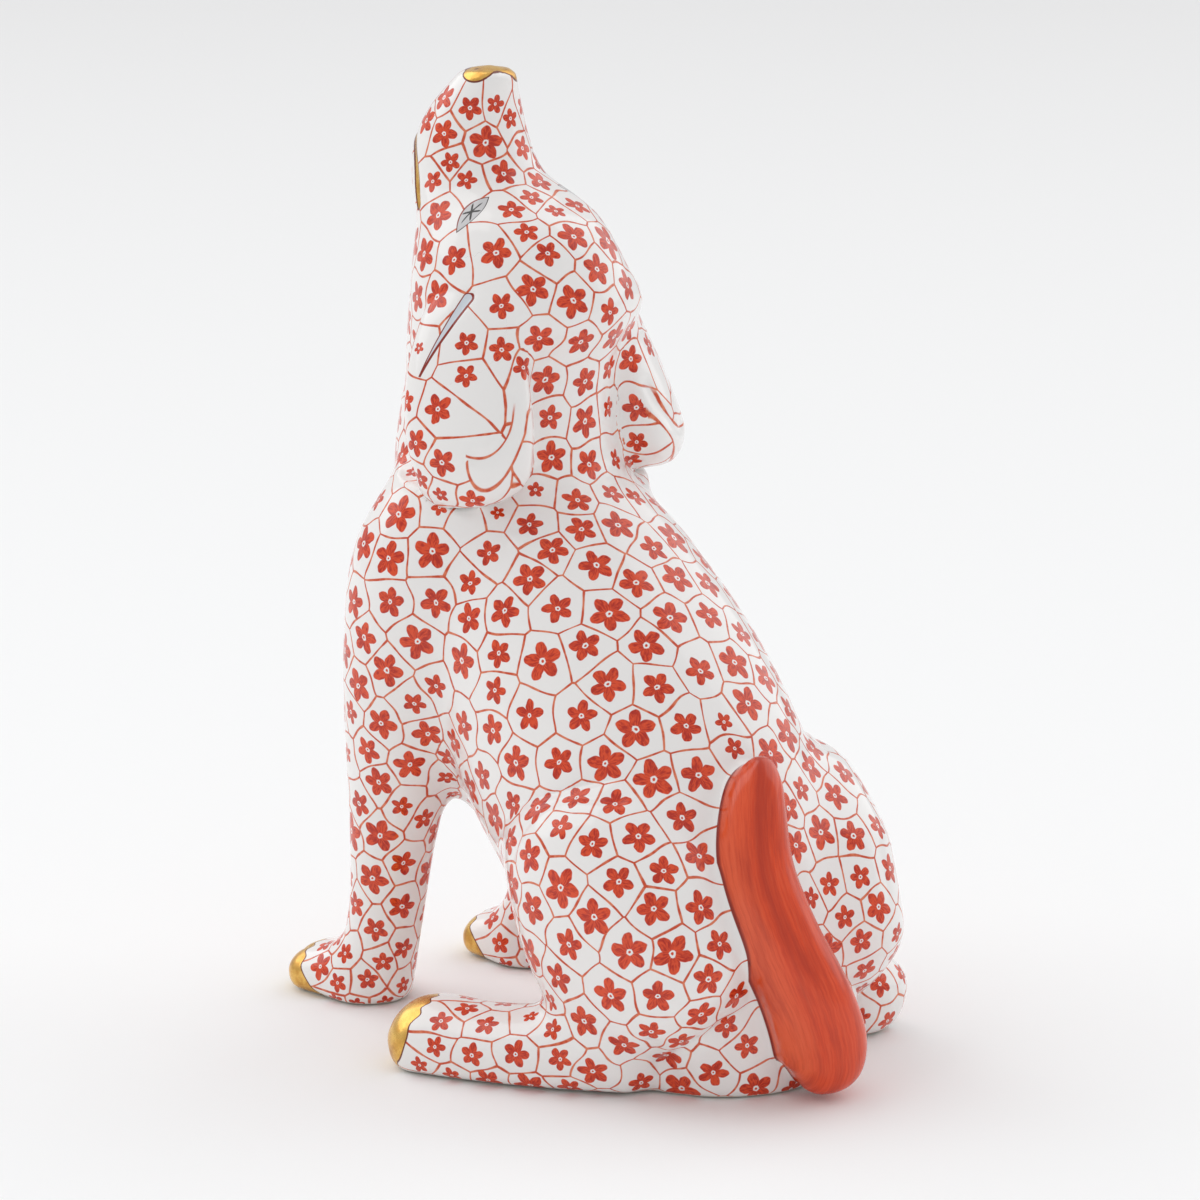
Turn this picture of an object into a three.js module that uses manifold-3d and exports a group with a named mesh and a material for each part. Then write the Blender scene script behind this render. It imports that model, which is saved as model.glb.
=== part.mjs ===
// A sitting porcelain dog with its muzzle raised, as the nine castings it is luted together from.
// Millimetres, +Z up. The dog looks towards -Y and its left side is +X. The origin is on the ground,
// at the middle of the seat.

import * as THREE from "three";
import { mergeVertices } from "three/addons/utils/BufferGeometryUtils.js";
import Module from "manifold-3d";

// Torso: a shell of this wall, open at the neck, with a vent hole in its flat base
const bodyHeight = 66;
const neckLead = 33;
const bodyHalfWidth = 18;
const bodyHalfDepth = 17;
const chestHalfWidth = 15.5;
const chestHalfDepth = 14.3;
const wall = 3;
const baseThickness = 3.5;
const ventDiameter = 7;
const ventLead = 5.5;

// Head, from the joint at the neck to the tip of the nose
const headHeight = 40;
const headHalfWidth = 12;
const skullCavityHeight = 20;
const mouthDepth = 8;
const mouthGape = 1.2;
const lipThickness = 3.4;

// Ears, of which the left one is shorter
const leftEarLength = 19.8;
const rightEarLength = 22.9;
const earHalfWidth = 6.6;
const earHalfThickness = 3.5;

// Forelegs, of which the right one stands further in and back, on a shorter paw
const shoulderHeight = 59.5;
const forelegOffset = 12.5;
const forelegStride = 9.6;
const forelegRadius = 4.3;
const rightFootIn = 2.4;
const rightFootBack = 2.8;
const leftPawLength = 14.1;
const rightPawLength = 12.7;
const forepawHalfWidth = 5.4;
const forepawHalfHeight = 4.4;

// Hind legs, of which the right one's heel is turned out
const kneeHeight = 32.5;
const haunchOffset = 13.2;
const haunchHalfWidth = 8.8;
const haunchHalfDepth = 12.5;
const shankRadius = 5.3;
const toeOffset = 25;
const toeLead = 24.2;
const leftHeelOffset = 11;
const leftHeelSetback = 4.8;
const rightHeelOffset = 19.4;
const rightHeelSetback = 8.6;
const footHalfWidth = 6.3;
const footHalfHeight = 4.8;

// Tail
const tailHeight = 37;
const tailHalfWidth = 4.8;
const tailHalfDepth = 3.5;
const tailSway = 5;

// Space left between two castings where the slip goes
const clearance = 0.3;

// How far apart the rings of a form lie, in fine places and in plain ones
const fineSpacing = 2.2;
const plainSpacing = 3.1;

const wasm = await Module();
wasm.setup();

const glaze = { color: 0xf3f1ee, roughness: 0.12, metalness: 0 };
const ironRed = { color: 0xb23a1e, roughness: 0.15, metalness: 0 };

const sideways = new THREE.Vector3(1, 0, 0);
const upright = new THREE.Vector3(0, 0, 1);
const capRings = 4;

// A station is one section of a form: its centre x, y, z, then its half size along the side
// direction, its half size behind and its half size before. Curves run through the stations.
function curveThrough(stations, first, grow) {
  const points = stations.map((station) => {
    const [a, b, c] = station.slice(first, first + 3);
    return new THREE.Vector3(a + grow, b + grow, c + grow);
  });
  return new THREE.CatmullRomCurve3(points, false, "catmullrom", 0.5);
}

// Where the rings of a form lie along its length, and how full each one is.
// A rounded end is a quarter of an ellipse, a plain end is flat.
function ringPlaces(length, step, roundStart, roundEnd) {
  const places = [];
  for (let k = 1; k <= capRings && roundStart > 0; k += 1) {
    const angle = (k / capRings) * (Math.PI / 2);
    places.push([roundStart * (1 - Math.cos(angle)), Math.sin(angle)]);
  }
  const first = roundStart > 0 ? 1 : 0;
  const straight = length - roundStart - roundEnd;
  const count = Math.max(1, Math.round(straight / step));
  const last = roundEnd > 0 ? count - 1 : count;
  for (let k = first; k <= last; k += 1) {
    places.push([roundStart + (k / count) * straight, 1]);
  }
  for (let k = capRings; k >= 1 && roundEnd > 0; k -= 1) {
    const angle = (k / capRings) * (Math.PI / 2);
    places.push([length - roundEnd * (1 - Math.cos(angle)), Math.sin(angle)]);
  }
  return places;
}

// A closed form swept through stations. Sections stand square to the spine, or lie level.
function form(stations, options = {}) {
  const { side = sideways, around = 24, step = plainSpacing } = options;
  const { roundStart = 0, roundEnd = 0 } = options;
  const { grow = 0, level = false } = options;
  const centres = curveThrough(stations, 0, 0);
  const sizes = curveThrough(stations, 3, grow);
  const length = centres.getLength();
  const positions = [];
  const addPoint = (p) => positions.push(p.x, p.y, p.z);
  const frameAt = (place) => {
    const t = centres.getUtoTmapping(THREE.MathUtils.clamp(place / length, 0, 1));
    const tangent = level ? upright.clone() : centres.getTangent(t);
    const across = side.clone().addScaledVector(tangent, -side.dot(tangent)).normalize();
    const back = new THREE.Vector3().crossVectors(tangent, across);
    return { centre: centres.getPoint(t), size: sizes.getPoint(t), tangent, across, back };
  };

  const places = ringPlaces(length, step, roundStart, roundEnd);
  const start = frameAt(0);
  addPoint(start.centre.addScaledVector(start.tangent, roundStart > 0 ? -grow : 0));
  for (const [place, fullness] of places) {
    const { centre, size, across, back } = frameAt(place);
    for (let k = 0; k < around; k += 1) {
      const angle = (k / around) * 2 * Math.PI;
      const depth = Math.sin(angle) >= 0 ? size.y : size.z;
      const point = centre.clone();
      point.addScaledVector(across, size.x * fullness * Math.cos(angle));
      point.addScaledVector(back, depth * fullness * Math.sin(angle));
      addPoint(point);
    }
  }
  const end = frameAt(length);
  addPoint(end.centre.addScaledVector(end.tangent, roundEnd > 0 ? grow : 0));

  const index = [];
  const ring = (row, k) => 1 + row * around + (k % around);
  const tip = 1 + places.length * around;
  for (let k = 0; k < around; k += 1) {
    index.push(0, ring(0, k + 1), ring(0, k));
    for (let row = 0; row + 1 < places.length; row += 1) {
      index.push(ring(row, k), ring(row, k + 1), ring(row + 1, k + 1));
      index.push(ring(row, k), ring(row + 1, k + 1), ring(row + 1, k));
    }
    index.push(tip, ring(places.length - 1, k), ring(places.length - 1, k + 1));
  }
  const geometry = new THREE.BufferGeometry();
  geometry.setAttribute("position", new THREE.Float32BufferAttribute(positions, 3));
  geometry.setIndex(index);
  return toSolid(geometry);
}

function toSolid(geometry) {
  const plain = geometry.clone();
  plain.deleteAttribute("normal");
  plain.deleteAttribute("uv");
  const merged = mergeVertices(plain, 1e-3);
  const vertProperties = new Float32Array(merged.attributes.position.array);
  const triVerts = new Uint32Array(merged.index.array);
  return new wasm.Manifold(new wasm.Mesh({ numProp: 3, vertProperties, triVerts }));
}

function toGeometry(solid) {
  const mesh = solid.getMesh();
  const geometry = new THREE.BufferGeometry();
  geometry.setAttribute("position", new THREE.BufferAttribute(mesh.vertProperties, 3));
  geometry.setIndex(new THREE.BufferAttribute(mesh.triVerts, 1));
  geometry.computeVertexNormals();
  return geometry;
}

// The same solid on the dog's other side
function mirrored(geometry) {
  const copy = geometry.clone();
  const position = copy.attributes.position;
  for (let k = 0; k < position.count; k += 1) {
    position.setX(k, -position.getX(k));
  }
  const index = copy.index;
  for (let k = 0; k < index.count; k += 3) {
    const second = index.getX(k + 1);
    index.setX(k + 1, index.getX(k + 2));
    index.setX(k + 2, second);
  }
  copy.computeVertexNormals();
  return copy;
}

// A block that holds everything between two heights
function slab(low, high) {
  const span = 6 * (bodyHeight + headHeight);
  const block = new THREE.BoxGeometry(span, span, high - low);
  block.translate(0, 0, (low + high) / 2);
  return toSolid(block);
}

const farAway = 4 * (bodyHeight + headHeight);
const aboveGround = slab(0, farAway);

// Torso

// Rows: lead towards the neck, height, half-width, half-depth behind and before, as shares
const torsoRows = [
  [-0.06, -0.09, 0.58, 0.71, 0.65],
  [-0.03, 0.06, 0.81, 0.81, 0.76],
  [0.06, 0.21, 0.98, 0.94, 0.88],
  [0.21, 0.38, 1.0, 1.02, 1.08],
  [0.44, 0.545, 0.99, 1.01, 1.19],
  [0.69, 0.71, 0.91, 0.86, 1.14],
  [0.91, 0.88, 0.7, 0.65, 0.92],
  [0.99, 1.06, 0.59, 0.62, 0.665],
];

// The breast, which hangs between the shoulders
const chestRows = [
  [0.97, 0.94, 0.65, 0.56, 0.8],
  [1.03, 0.82, 0.94, 0.63, 0.965],
  [1.03, 0.67, 1.0, 0.63, 1.0],
  [0.97, 0.515, 0.77, 0.63, 0.84],
  [0.88, 0.39, 0.52, 0.56, 0.63],
  [0.82, 0.32, 0.32, 0.42, 0.42],
];

function bodyStations(rows, halfWidth, halfDepth) {
  return rows.map(([lead, height, width, behind, before]) => [
    0,
    -lead * neckLead,
    height * bodyHeight,
    width * halfWidth,
    behind * halfDepth,
    before * halfDepth,
  ]);
}

const torsoStations = bodyStations(torsoRows, bodyHalfWidth, bodyHalfDepth);
const chestStations = bodyStations(chestRows, chestHalfWidth, chestHalfDepth);

function torsoForm(grow, around = 40, step = plainSpacing) {
  const rounding = 0.28 * chestHalfDepth;
  const barrel = form(torsoStations, { around, step, grow });
  const chest = form(chestStations, {
    around: 0.8 * around,
    step,
    roundStart: rounding,
    roundEnd: rounding,
    grow,
  });
  return barrel.add(chest);
}

function torso() {
  const vent = new THREE.CylinderGeometry(ventDiameter / 2, ventDiameter / 2, 4 * baseThickness, 24);
  vent.rotateX(Math.PI / 2);
  vent.translate(0, -ventLead, 0);
  const cavity = torsoForm(-wall, 30, 1.5 * plainSpacing);
  const outside = torsoForm(0).intersect(slab(0, bodyHeight - clearance / 2));
  return outside.subtract(cavity.intersect(slab(baseThickness, farAway))).subtract(toSolid(vent));
}

// Head

// Rows: height above the neck joint as a share of the head's height, then how far the centre
// lies forward of the neck, half-width, half-depth behind and before, as shares of headHalfWidth
const headRows = [
  [-0.2, -0.05, 0.92, 0.9, 1.0],
  [-0.075, -0.025, 0.95, 0.92, 1.1],
  [0.07, -0.025, 0.92, 0.92, 1.02],
  [0.235, -0.12, 0.97, 0.98, 1.04],
  [0.36, -0.2, 1.0, 1.08, 1.06],
  [0.49, -0.13, 0.925, 1.0, 0.97],
  [0.585, 0.02, 0.8, 0.93, 0.825],
  [0.65, 0.27, 0.68, 0.76, 0.67],
  [0.705, 0.41, 0.6, 0.6, 0.58],
  [0.78, 0.46, 0.525, 0.525, 0.55],
  [0.875, 0.41, 0.425, 0.42, 0.425],
  [0.96, 0.28, 0.285, 0.285, 0.285],
  [1.0, 0.24, 0.18, 0.18, 0.18],
];

const headStations = headRows.map(([height, forward, width, behind, before]) => [
  0,
  -neckLead - forward * headHalfWidth,
  bodyHeight + height * headHeight,
  width * headHalfWidth,
  behind * headHalfWidth,
  before * headHalfWidth,
]);

function headForm(grow) {
  const roundEnd = 0.08 * headHalfWidth;
  return form(headStations, { around: 36, step: fineSpacing, roundEnd, grow, level: true });
}

// The mouth is a slot behind the lower lip, open at the top and to both sides
function mouth() {
  const lipShare = 0.78;
  const muzzle = headRows.find(([height]) => height === lipShare);
  const lipY = -neckLead - (muzzle[1] + muzzle[4]) * headHalfWidth;
  const lipZ = bodyHeight + lipShare * headHeight;
  const slotY = lipY + lipThickness;
  const outline = new THREE.Shape();
  outline.moveTo(slotY + mouthGape / 2, lipZ - mouthDepth);
  outline.lineTo(slotY + mouthGape / 2, lipZ + mouthGape);
  outline.lineTo(lipY - mouthGape, lipZ + 2 * mouthGape);
  outline.lineTo(lipY - mouthGape, lipZ);
  outline.lineTo(slotY - mouthGape / 2, lipZ - mouthGape);
  outline.closePath();
  const slot = new THREE.ExtrudeGeometry(outline, { depth: 4 * headHalfWidth, bevelEnabled: false });
  // The shape's x and y become y and z, and it is swept across the muzzle
  const yzx = new THREE.Matrix4().set(0, 0, 1, -2 * headHalfWidth, 1, 0, 0, 0, 0, 1, 0, 0, 0, 0, 0, 1);
  slot.applyMatrix4(yzx);
  return toSolid(slot);
}

function head() {
  const joint = bodyHeight + clearance / 2;
  const hollow = form(headStations, { around: 24, grow: -wall, level: true });
  const cavity = hollow.intersect(slab(-farAway, bodyHeight + skullCavityHeight));
  return headForm(0).intersect(slab(joint, farAway)).subtract(cavity).subtract(mouth());
}

// Ears

// Rows: how far down the ear, its outward and rearward place, half-width and half-thickness
const leftEarRows = [
  [0, 0.72, 0.37, 0.7, 0.63],
  [0.28, 0.92, 0.48, 0.91, 0.71],
  [0.555, 1.07, 0.59, 0.97, 0.86],
  [0.79, 1.14, 0.7, 0.94, 1.06],
  [1.0, 1.17, 0.77, 0.76, 1.0],
];
const rightEarRows = [
  [0, 0.72, 0.42, 0.73, 0.69],
  [0.26, 0.9, 0.48, 0.91, 0.74],
  [0.525, 1.06, 0.58, 1.0, 0.86],
  [0.785, 1.175, 0.7, 1.02, 0.97],
  [1.0, 1.23, 0.77, 0.82, 0.94],
];
const earRoot = bodyHeight + 0.42 * headHeight;

// An ear on the left side, before it is cut to what it lies against
function earForm(rows, length, grow) {
  const stations = rows.map(([down, out, rearward, width, thickness]) => [
    out * headHalfWidth,
    -neckLead + rearward * headHalfWidth,
    earRoot - down * length,
    width * earHalfWidth,
    thickness * earHalfThickness,
    thickness * earHalfThickness,
  ]);
  const side = new THREE.Vector3(-1, 1, 0).normalize();
  const rounding = 0.6 * earHalfWidth;
  return form(stations, {
    side,
    around: 20,
    step: fineSpacing,
    roundStart: rounding,
    roundEnd: rounding,
    grow,
  });
}

function leftSideEar(rows, length, body) {
  return earForm(rows, length, 0).subtract(headForm(clearance)).subtract(body);
}

// Forelegs

// Rows: outward share, how far along the stride, height share, and three half sizes
const forelegRows = [
  [0.78, -0.16, 1.0, 1.4, 1.51, 1.84],
  [0.99, 0.06, 0.875, 1.63, 1.86, 2.0],
  [1.06, 0.17, 0.705, 1.58, 1.86, 1.81],
  [1.02, 0.34, 0.52, 1.37, 1.67, 1.44],
  [1.0, 0.55, 0.335, 1.12, 1.21, 1.09],
  [0.98, 0.7, 0.2, 0.98, 1.02, 1.0],
  [0.98, 0.9, 0.07, 1.0, 0.95, 1.0],
  [0.98, 1.0, -0.02, 1.0, 0.95, 1.0],
];

// Rows: how far along the paw, half-width, half-height above and below, height of the centre
const forepawRows = [
  [0, 0.8, 0.73, 1.14, 0.52],
  [0.29, 0.94, 1.0, 1.14, 0.59],
  [0.645, 1.0, 0.75, 1.14, 0.52],
  [1.0, 0.93, 0.55, 1.14, 0.41],
];

// A foreleg on the left side, whose foot stands this far in and back
function leftSideForeleg(footIn, footBack, pawLength, body, ear) {
  const leg = forelegRows.map(([out, stride, height, width, behind, before]) => {
    const moved = (1 - height) ** 2;
    return [
      out * forelegOffset - moved * footIn,
      -neckLead - stride * forelegStride + moved * footBack,
      height * shoulderHeight,
      width * forelegRadius,
      behind * forelegRadius,
      before * forelegRadius,
    ];
  });
  const heelLead = neckLead + forelegStride - 0.86 * forelegRadius - footBack;
  const paw = forepawRows.map(([along, width, above, below, height]) => [
    (0.98 + 0.06 * along) * forelegOffset - footIn,
    -heelLead - along * pawLength,
    height * forepawHalfHeight,
    width * forepawHalfWidth,
    above * forepawHalfHeight,
    below * forepawHalfHeight,
  ]);
  const rounding = 0.7 * forepawHalfWidth;
  const limb = form(leg, { around: 20, step: 1.3 * plainSpacing });
  const foot = form(paw, { around: 20, roundStart: rounding, roundEnd: rounding });
  return limb.add(foot).intersect(aboveGround).subtract(body).subtract(ear);
}

// Hind legs

// Rows: outward share, place from the seat's centre towards the rear, height share, half sizes
const haunchRows = [
  [0.83, 0.72, 0.22, 0.63, 0.6, 0.6],
  [0.92, 0.44, 0.37, 0.89, 0.84, 0.84],
  [1.0, 0.04, 0.55, 1.0, 1.0, 1.0],
  [1.08, -0.28, 0.77, 0.93, 0.84, 0.83],
  [1.1, -0.52, 1.0, 0.68, 0.52, 0.5],
];

const shankRows = [
  [1.16, -0.51, 0.83, 1.04],
  [1.15, -0.34, 0.58, 1.02],
  [1.1, -0.1, 0.31, 0.98],
  [1.06, 0.0, 0.09, 0.98],
];

// Rows: how far along the foot, how far out the left and the right foot are there, half-width,
// half-height above and below, height of the centre
const footRows = [
  [0, 0, 0, 0.82, 0.77, 1.04, 0.96],
  [0.13, 0.11, -0.035, 0.95, 0.98, 1.25, 0.98],
  [0.28, 0.29, -0.07, 1.0, 1.06, 1.25, 0.94],
  [0.47, 0.51, 0.055, 0.97, 0.86, 1.25, 0.83],
  [0.66, 0.7, 0.32, 0.94, 0.83, 1.25, 0.75],
  [0.84, 0.865, 0.66, 0.9, 0.94, 1.25, 0.69],
  [1.0, 1.0, 1.0, 0.79, 0.67, 1.25, 0.52],
];

function haunchForm(grow) {
  const stations = haunchRows.map(([out, rearward, height, width, behind, before]) => [
    out * haunchOffset,
    rearward * haunchHalfDepth,
    height * kneeHeight,
    width * haunchHalfWidth,
    behind * haunchHalfDepth,
    before * haunchHalfDepth,
  ]);
  const rounding = 0.4 * haunchHalfDepth;
  return form(stations, { roundStart: rounding, roundEnd: rounding, grow });
}

function hindFootForm(outColumn, heelOffset, heelSetback) {
  const stations = footRows.map((row) => {
    const [along, , , width, above, below, height] = row;
    return [
      heelOffset + row[outColumn] * (toeOffset - heelOffset),
      heelSetback - along * (toeLead + heelSetback),
      height * footHalfHeight,
      width * footHalfWidth,
      above * footHalfHeight,
      below * footHalfHeight,
    ];
  });
  const rounding = 0.64 * footHalfWidth;
  return form(stations, { around: 20, roundStart: rounding, roundEnd: rounding });
}

function leftSideHindLeg(foot, body) {
  const shankStations = shankRows.map(([out, rearward, height, radius]) => [
    out * haunchOffset,
    rearward * haunchHalfDepth,
    height * kneeHeight,
    radius * shankRadius,
    radius * shankRadius,
    radius * shankRadius,
  ]);
  const rounding = 0.7 * shankRadius;
  const shank = form(shankStations, {
    around: 20,
    step: 1.3 * plainSpacing,
    roundStart: rounding,
    roundEnd: rounding,
  });
  return haunchForm(0).add(shank).add(foot).intersect(aboveGround).subtract(body);
}

// Tail

// How far back the torso's surface lies at a height, on its middle line
function backAt(height) {
  const centres = curveThrough(torsoStations, 0, 0);
  const sizes = curveThrough(torsoStations, 3, 0);
  const samples = 200;
  let best = { gap: Infinity, y: 0 };
  for (let k = 0; k <= samples; k += 1) {
    const t = k / samples;
    const back = new THREE.Vector3().crossVectors(centres.getTangent(t), sideways);
    const point = centres.getPoint(t).addScaledVector(back, sizes.getPoint(t).y);
    const gap = Math.abs(point.z - height);
    best = gap < best.gap ? { gap, y: point.y } : best;
  }
  return best.y;
}

// Rows: height, sway to the left, how far behind the torso, half-width and half-depth, as shares
const tailRows = [
  [0.01, 0, 0.65, 0.96, 0.97],
  [0.135, 0.08, 0.85, 1.0, 1.0],
  [0.3, 0.4, 0.84, 0.96, 1.0],
  [0.49, 0.82, 0.51, 0.9, 0.94],
  [0.68, 1.02, 0.27, 0.83, 0.91],
  [0.85, 0.8, 0.47, 0.71, 0.86],
  [1.0, 0.28, 0.87, 0.44, 0.66],
];

function tail(body) {
  const stations = tailRows.map(([height, sway, behind, width, depth]) => [
    sway * tailSway,
    backAt(height * tailHeight) + behind * tailHalfDepth,
    height * tailHeight,
    width * tailHalfWidth,
    depth * tailHalfDepth,
    depth * tailHalfDepth,
  ]);
  const side = new THREE.Vector3(0.9, -0.4, 0).normalize();
  const brush = form(stations, {
    side,
    around: 20,
    roundStart: 0.5 * tailHalfWidth,
    roundEnd: 0.8 * tailHalfWidth,
  });
  const hips = haunchForm(clearance);
  const otherHip = toSolid(mirrored(toGeometry(hips)));
  return brush.intersect(aboveGround).subtract(body).subtract(hips).subtract(otherHip);
}

const bodyWithSlip = torsoForm(clearance);
const leftEarWithSlip = earForm(leftEarRows, leftEarLength, clearance);
const rightEarWithSlip = earForm(rightEarRows, rightEarLength, clearance);
const leftEar = leftSideEar(leftEarRows, leftEarLength, bodyWithSlip);
const rightEar = leftSideEar(rightEarRows, rightEarLength, bodyWithSlip);
const leftForeleg = leftSideForeleg(0, 0, leftPawLength, bodyWithSlip, leftEarWithSlip);
const rightForeleg = leftSideForeleg(
  rightFootIn,
  rightFootBack,
  rightPawLength,
  bodyWithSlip,
  rightEarWithSlip,
);
const leftHindFoot = hindFootForm(1, leftHeelOffset, leftHeelSetback);
const rightHindFoot = hindFootForm(2, rightHeelOffset, rightHeelSetback);

// Each casting, and whether it is made on the left side and turned over to the right
const castings = [
  ["torso", torso(), false, glaze],
  ["head", head(), false, glaze],
  ["left_ear", leftEar, false, glaze],
  ["right_ear", rightEar, true, glaze],
  ["left_foreleg", leftForeleg, false, glaze],
  ["right_foreleg", rightForeleg, true, glaze],
  ["left_hind_leg", leftSideHindLeg(leftHindFoot, bodyWithSlip), false, glaze],
  ["right_hind_leg", leftSideHindLeg(rightHindFoot, bodyWithSlip), true, glaze],
  ["tail", tail(bodyWithSlip), false, ironRed],
];

const group = new THREE.Group();
for (const [name, solid, turnedOver, finish] of castings) {
  const geometry = turnedOver ? mirrored(toGeometry(solid)) : toGeometry(solid);
  const mesh = new THREE.Mesh(geometry, new THREE.MeshStandardMaterial(finish));
  mesh.name = name;
  group.add(mesh);
}

export default group;
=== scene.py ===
"""A sitting porcelain dog with its muzzle raised, slip cast in nine pieces and luted together.

The nine castings are swept forms. The potter's sponge rounds every joint between them, so the
glazed skin is worked out as one surface and then shared out again among the castings. On the
skin lie the painter's colours: a crackle of fine iron-red lines, a small blossom in each cell,
a solid red tail, painted eyes, and burnished gold on the nose, the lips and the toes.

Lengths are millimetres until a mesh is finished, and metres after that.
"""

from __future__ import annotations

import logging
import math
from collections.abc import Callable, Iterable
from dataclasses import dataclass, field, replace
from enum import Enum
from functools import cached_property

import bmesh
import bpy
import numpy as np
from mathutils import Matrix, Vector

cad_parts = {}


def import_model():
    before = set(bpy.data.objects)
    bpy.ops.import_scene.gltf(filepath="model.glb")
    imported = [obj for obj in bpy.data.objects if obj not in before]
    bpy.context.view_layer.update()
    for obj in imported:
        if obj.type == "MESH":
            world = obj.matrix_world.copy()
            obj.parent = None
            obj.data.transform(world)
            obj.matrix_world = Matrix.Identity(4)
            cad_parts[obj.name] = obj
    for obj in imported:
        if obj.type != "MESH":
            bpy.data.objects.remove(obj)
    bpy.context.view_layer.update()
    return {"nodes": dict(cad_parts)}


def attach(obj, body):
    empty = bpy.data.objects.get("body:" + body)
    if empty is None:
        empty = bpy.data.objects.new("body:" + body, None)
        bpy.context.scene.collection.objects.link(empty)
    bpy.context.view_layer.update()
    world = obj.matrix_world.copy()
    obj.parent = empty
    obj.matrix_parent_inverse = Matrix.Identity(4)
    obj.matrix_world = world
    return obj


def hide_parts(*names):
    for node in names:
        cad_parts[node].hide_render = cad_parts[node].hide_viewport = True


LOG = logging.getLogger("porcelain_dog")

MM = 0.001

Array = np.ndarray
Row = tuple[float, float, float, float, float, float]
Point = tuple[float, float, float]
Given = bpy.types.Node | bpy.types.NodeSocket | str | float | tuple | None
Coats = Iterable[tuple[Given, Given]]

# The skin's mesh spacing, the rounding where the clay meets the ground, the height of the neck
# joint, the distance that stands for out of reach, and the points round a form before the wrap
GRAIN = 0.36
FOOT_ROUNDING = 1.6
NECK_HEIGHT = 66.0
FAR = 50.0
AROUND = 96

# The spacing of a form's sections, how far around it distances count, and the spine's coarse step
SECTION_SPACING = 0.5
REACH = 7.0
COARSE = 4

# The thickness of the closing behind a seam, and the seed of the blossoms' lots
RIM_DEPTH = 3.0
BLOSSOM_SEED = 17


class Casting(Enum):
    """The nine cast pieces, each named as its node in the frame."""

    TORSO = "torso"
    HEAD = "head"
    LEFT_EAR = "left_ear"
    RIGHT_EAR = "right_ear"
    LEFT_FORELEG = "left_foreleg"
    RIGHT_FORELEG = "right_foreleg"
    LEFT_HIND_LEG = "left_hind_leg"
    RIGHT_HIND_LEG = "right_hind_leg"
    TAIL = "tail"

    @property
    def number(self) -> int:
        """Return the casting's place in the list."""
        return list(Casting).index(self)


def unit(vectors: Array) -> Array:
    """Scale vectors to length one, along the array's last axis."""
    return vectors / np.maximum(np.linalg.norm(vectors, axis=-1, keepdims=True), 1e-9)


def smooth_union(first: Array, second: Array, reach: float) -> Array:
    """Join distances with a fillet: the lesser, less a parabola, reach / 4 deep, in their gap."""
    overlap = np.maximum(reach - np.abs(first - second), 0.0) / reach
    return np.minimum(first, second) - overlap * overlap * reach / 4


def catmull_rom(rows: Array, count: int) -> Array:
    """Run a smooth curve through rows of numbers.

    Each stretch is the cubic whose slope at a row is half the step between its neighbours.

    Args:
        rows: The rows to pass through.
        count: How many places to return, evenly spread over the rows.

    Returns:
        One row of numbers for each place.
    """
    padded = np.vstack([2 * rows[0] - rows[1], rows, 2 * rows[-1] - rows[-2]])
    place = np.linspace(0, len(rows) - 1, count)
    start = np.minimum(place.astype(int), len(rows) - 2)
    t = (place - start)[:, None]
    a, b, c, d = (padded[start + k] for k in range(4))
    square = 2 * a - 5 * b + 4 * c - d
    cube = 3 * b - a - 3 * c + d
    return 0.5 * (2 * b + (c - a) * t + square * t**2 + cube * t**3)


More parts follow.
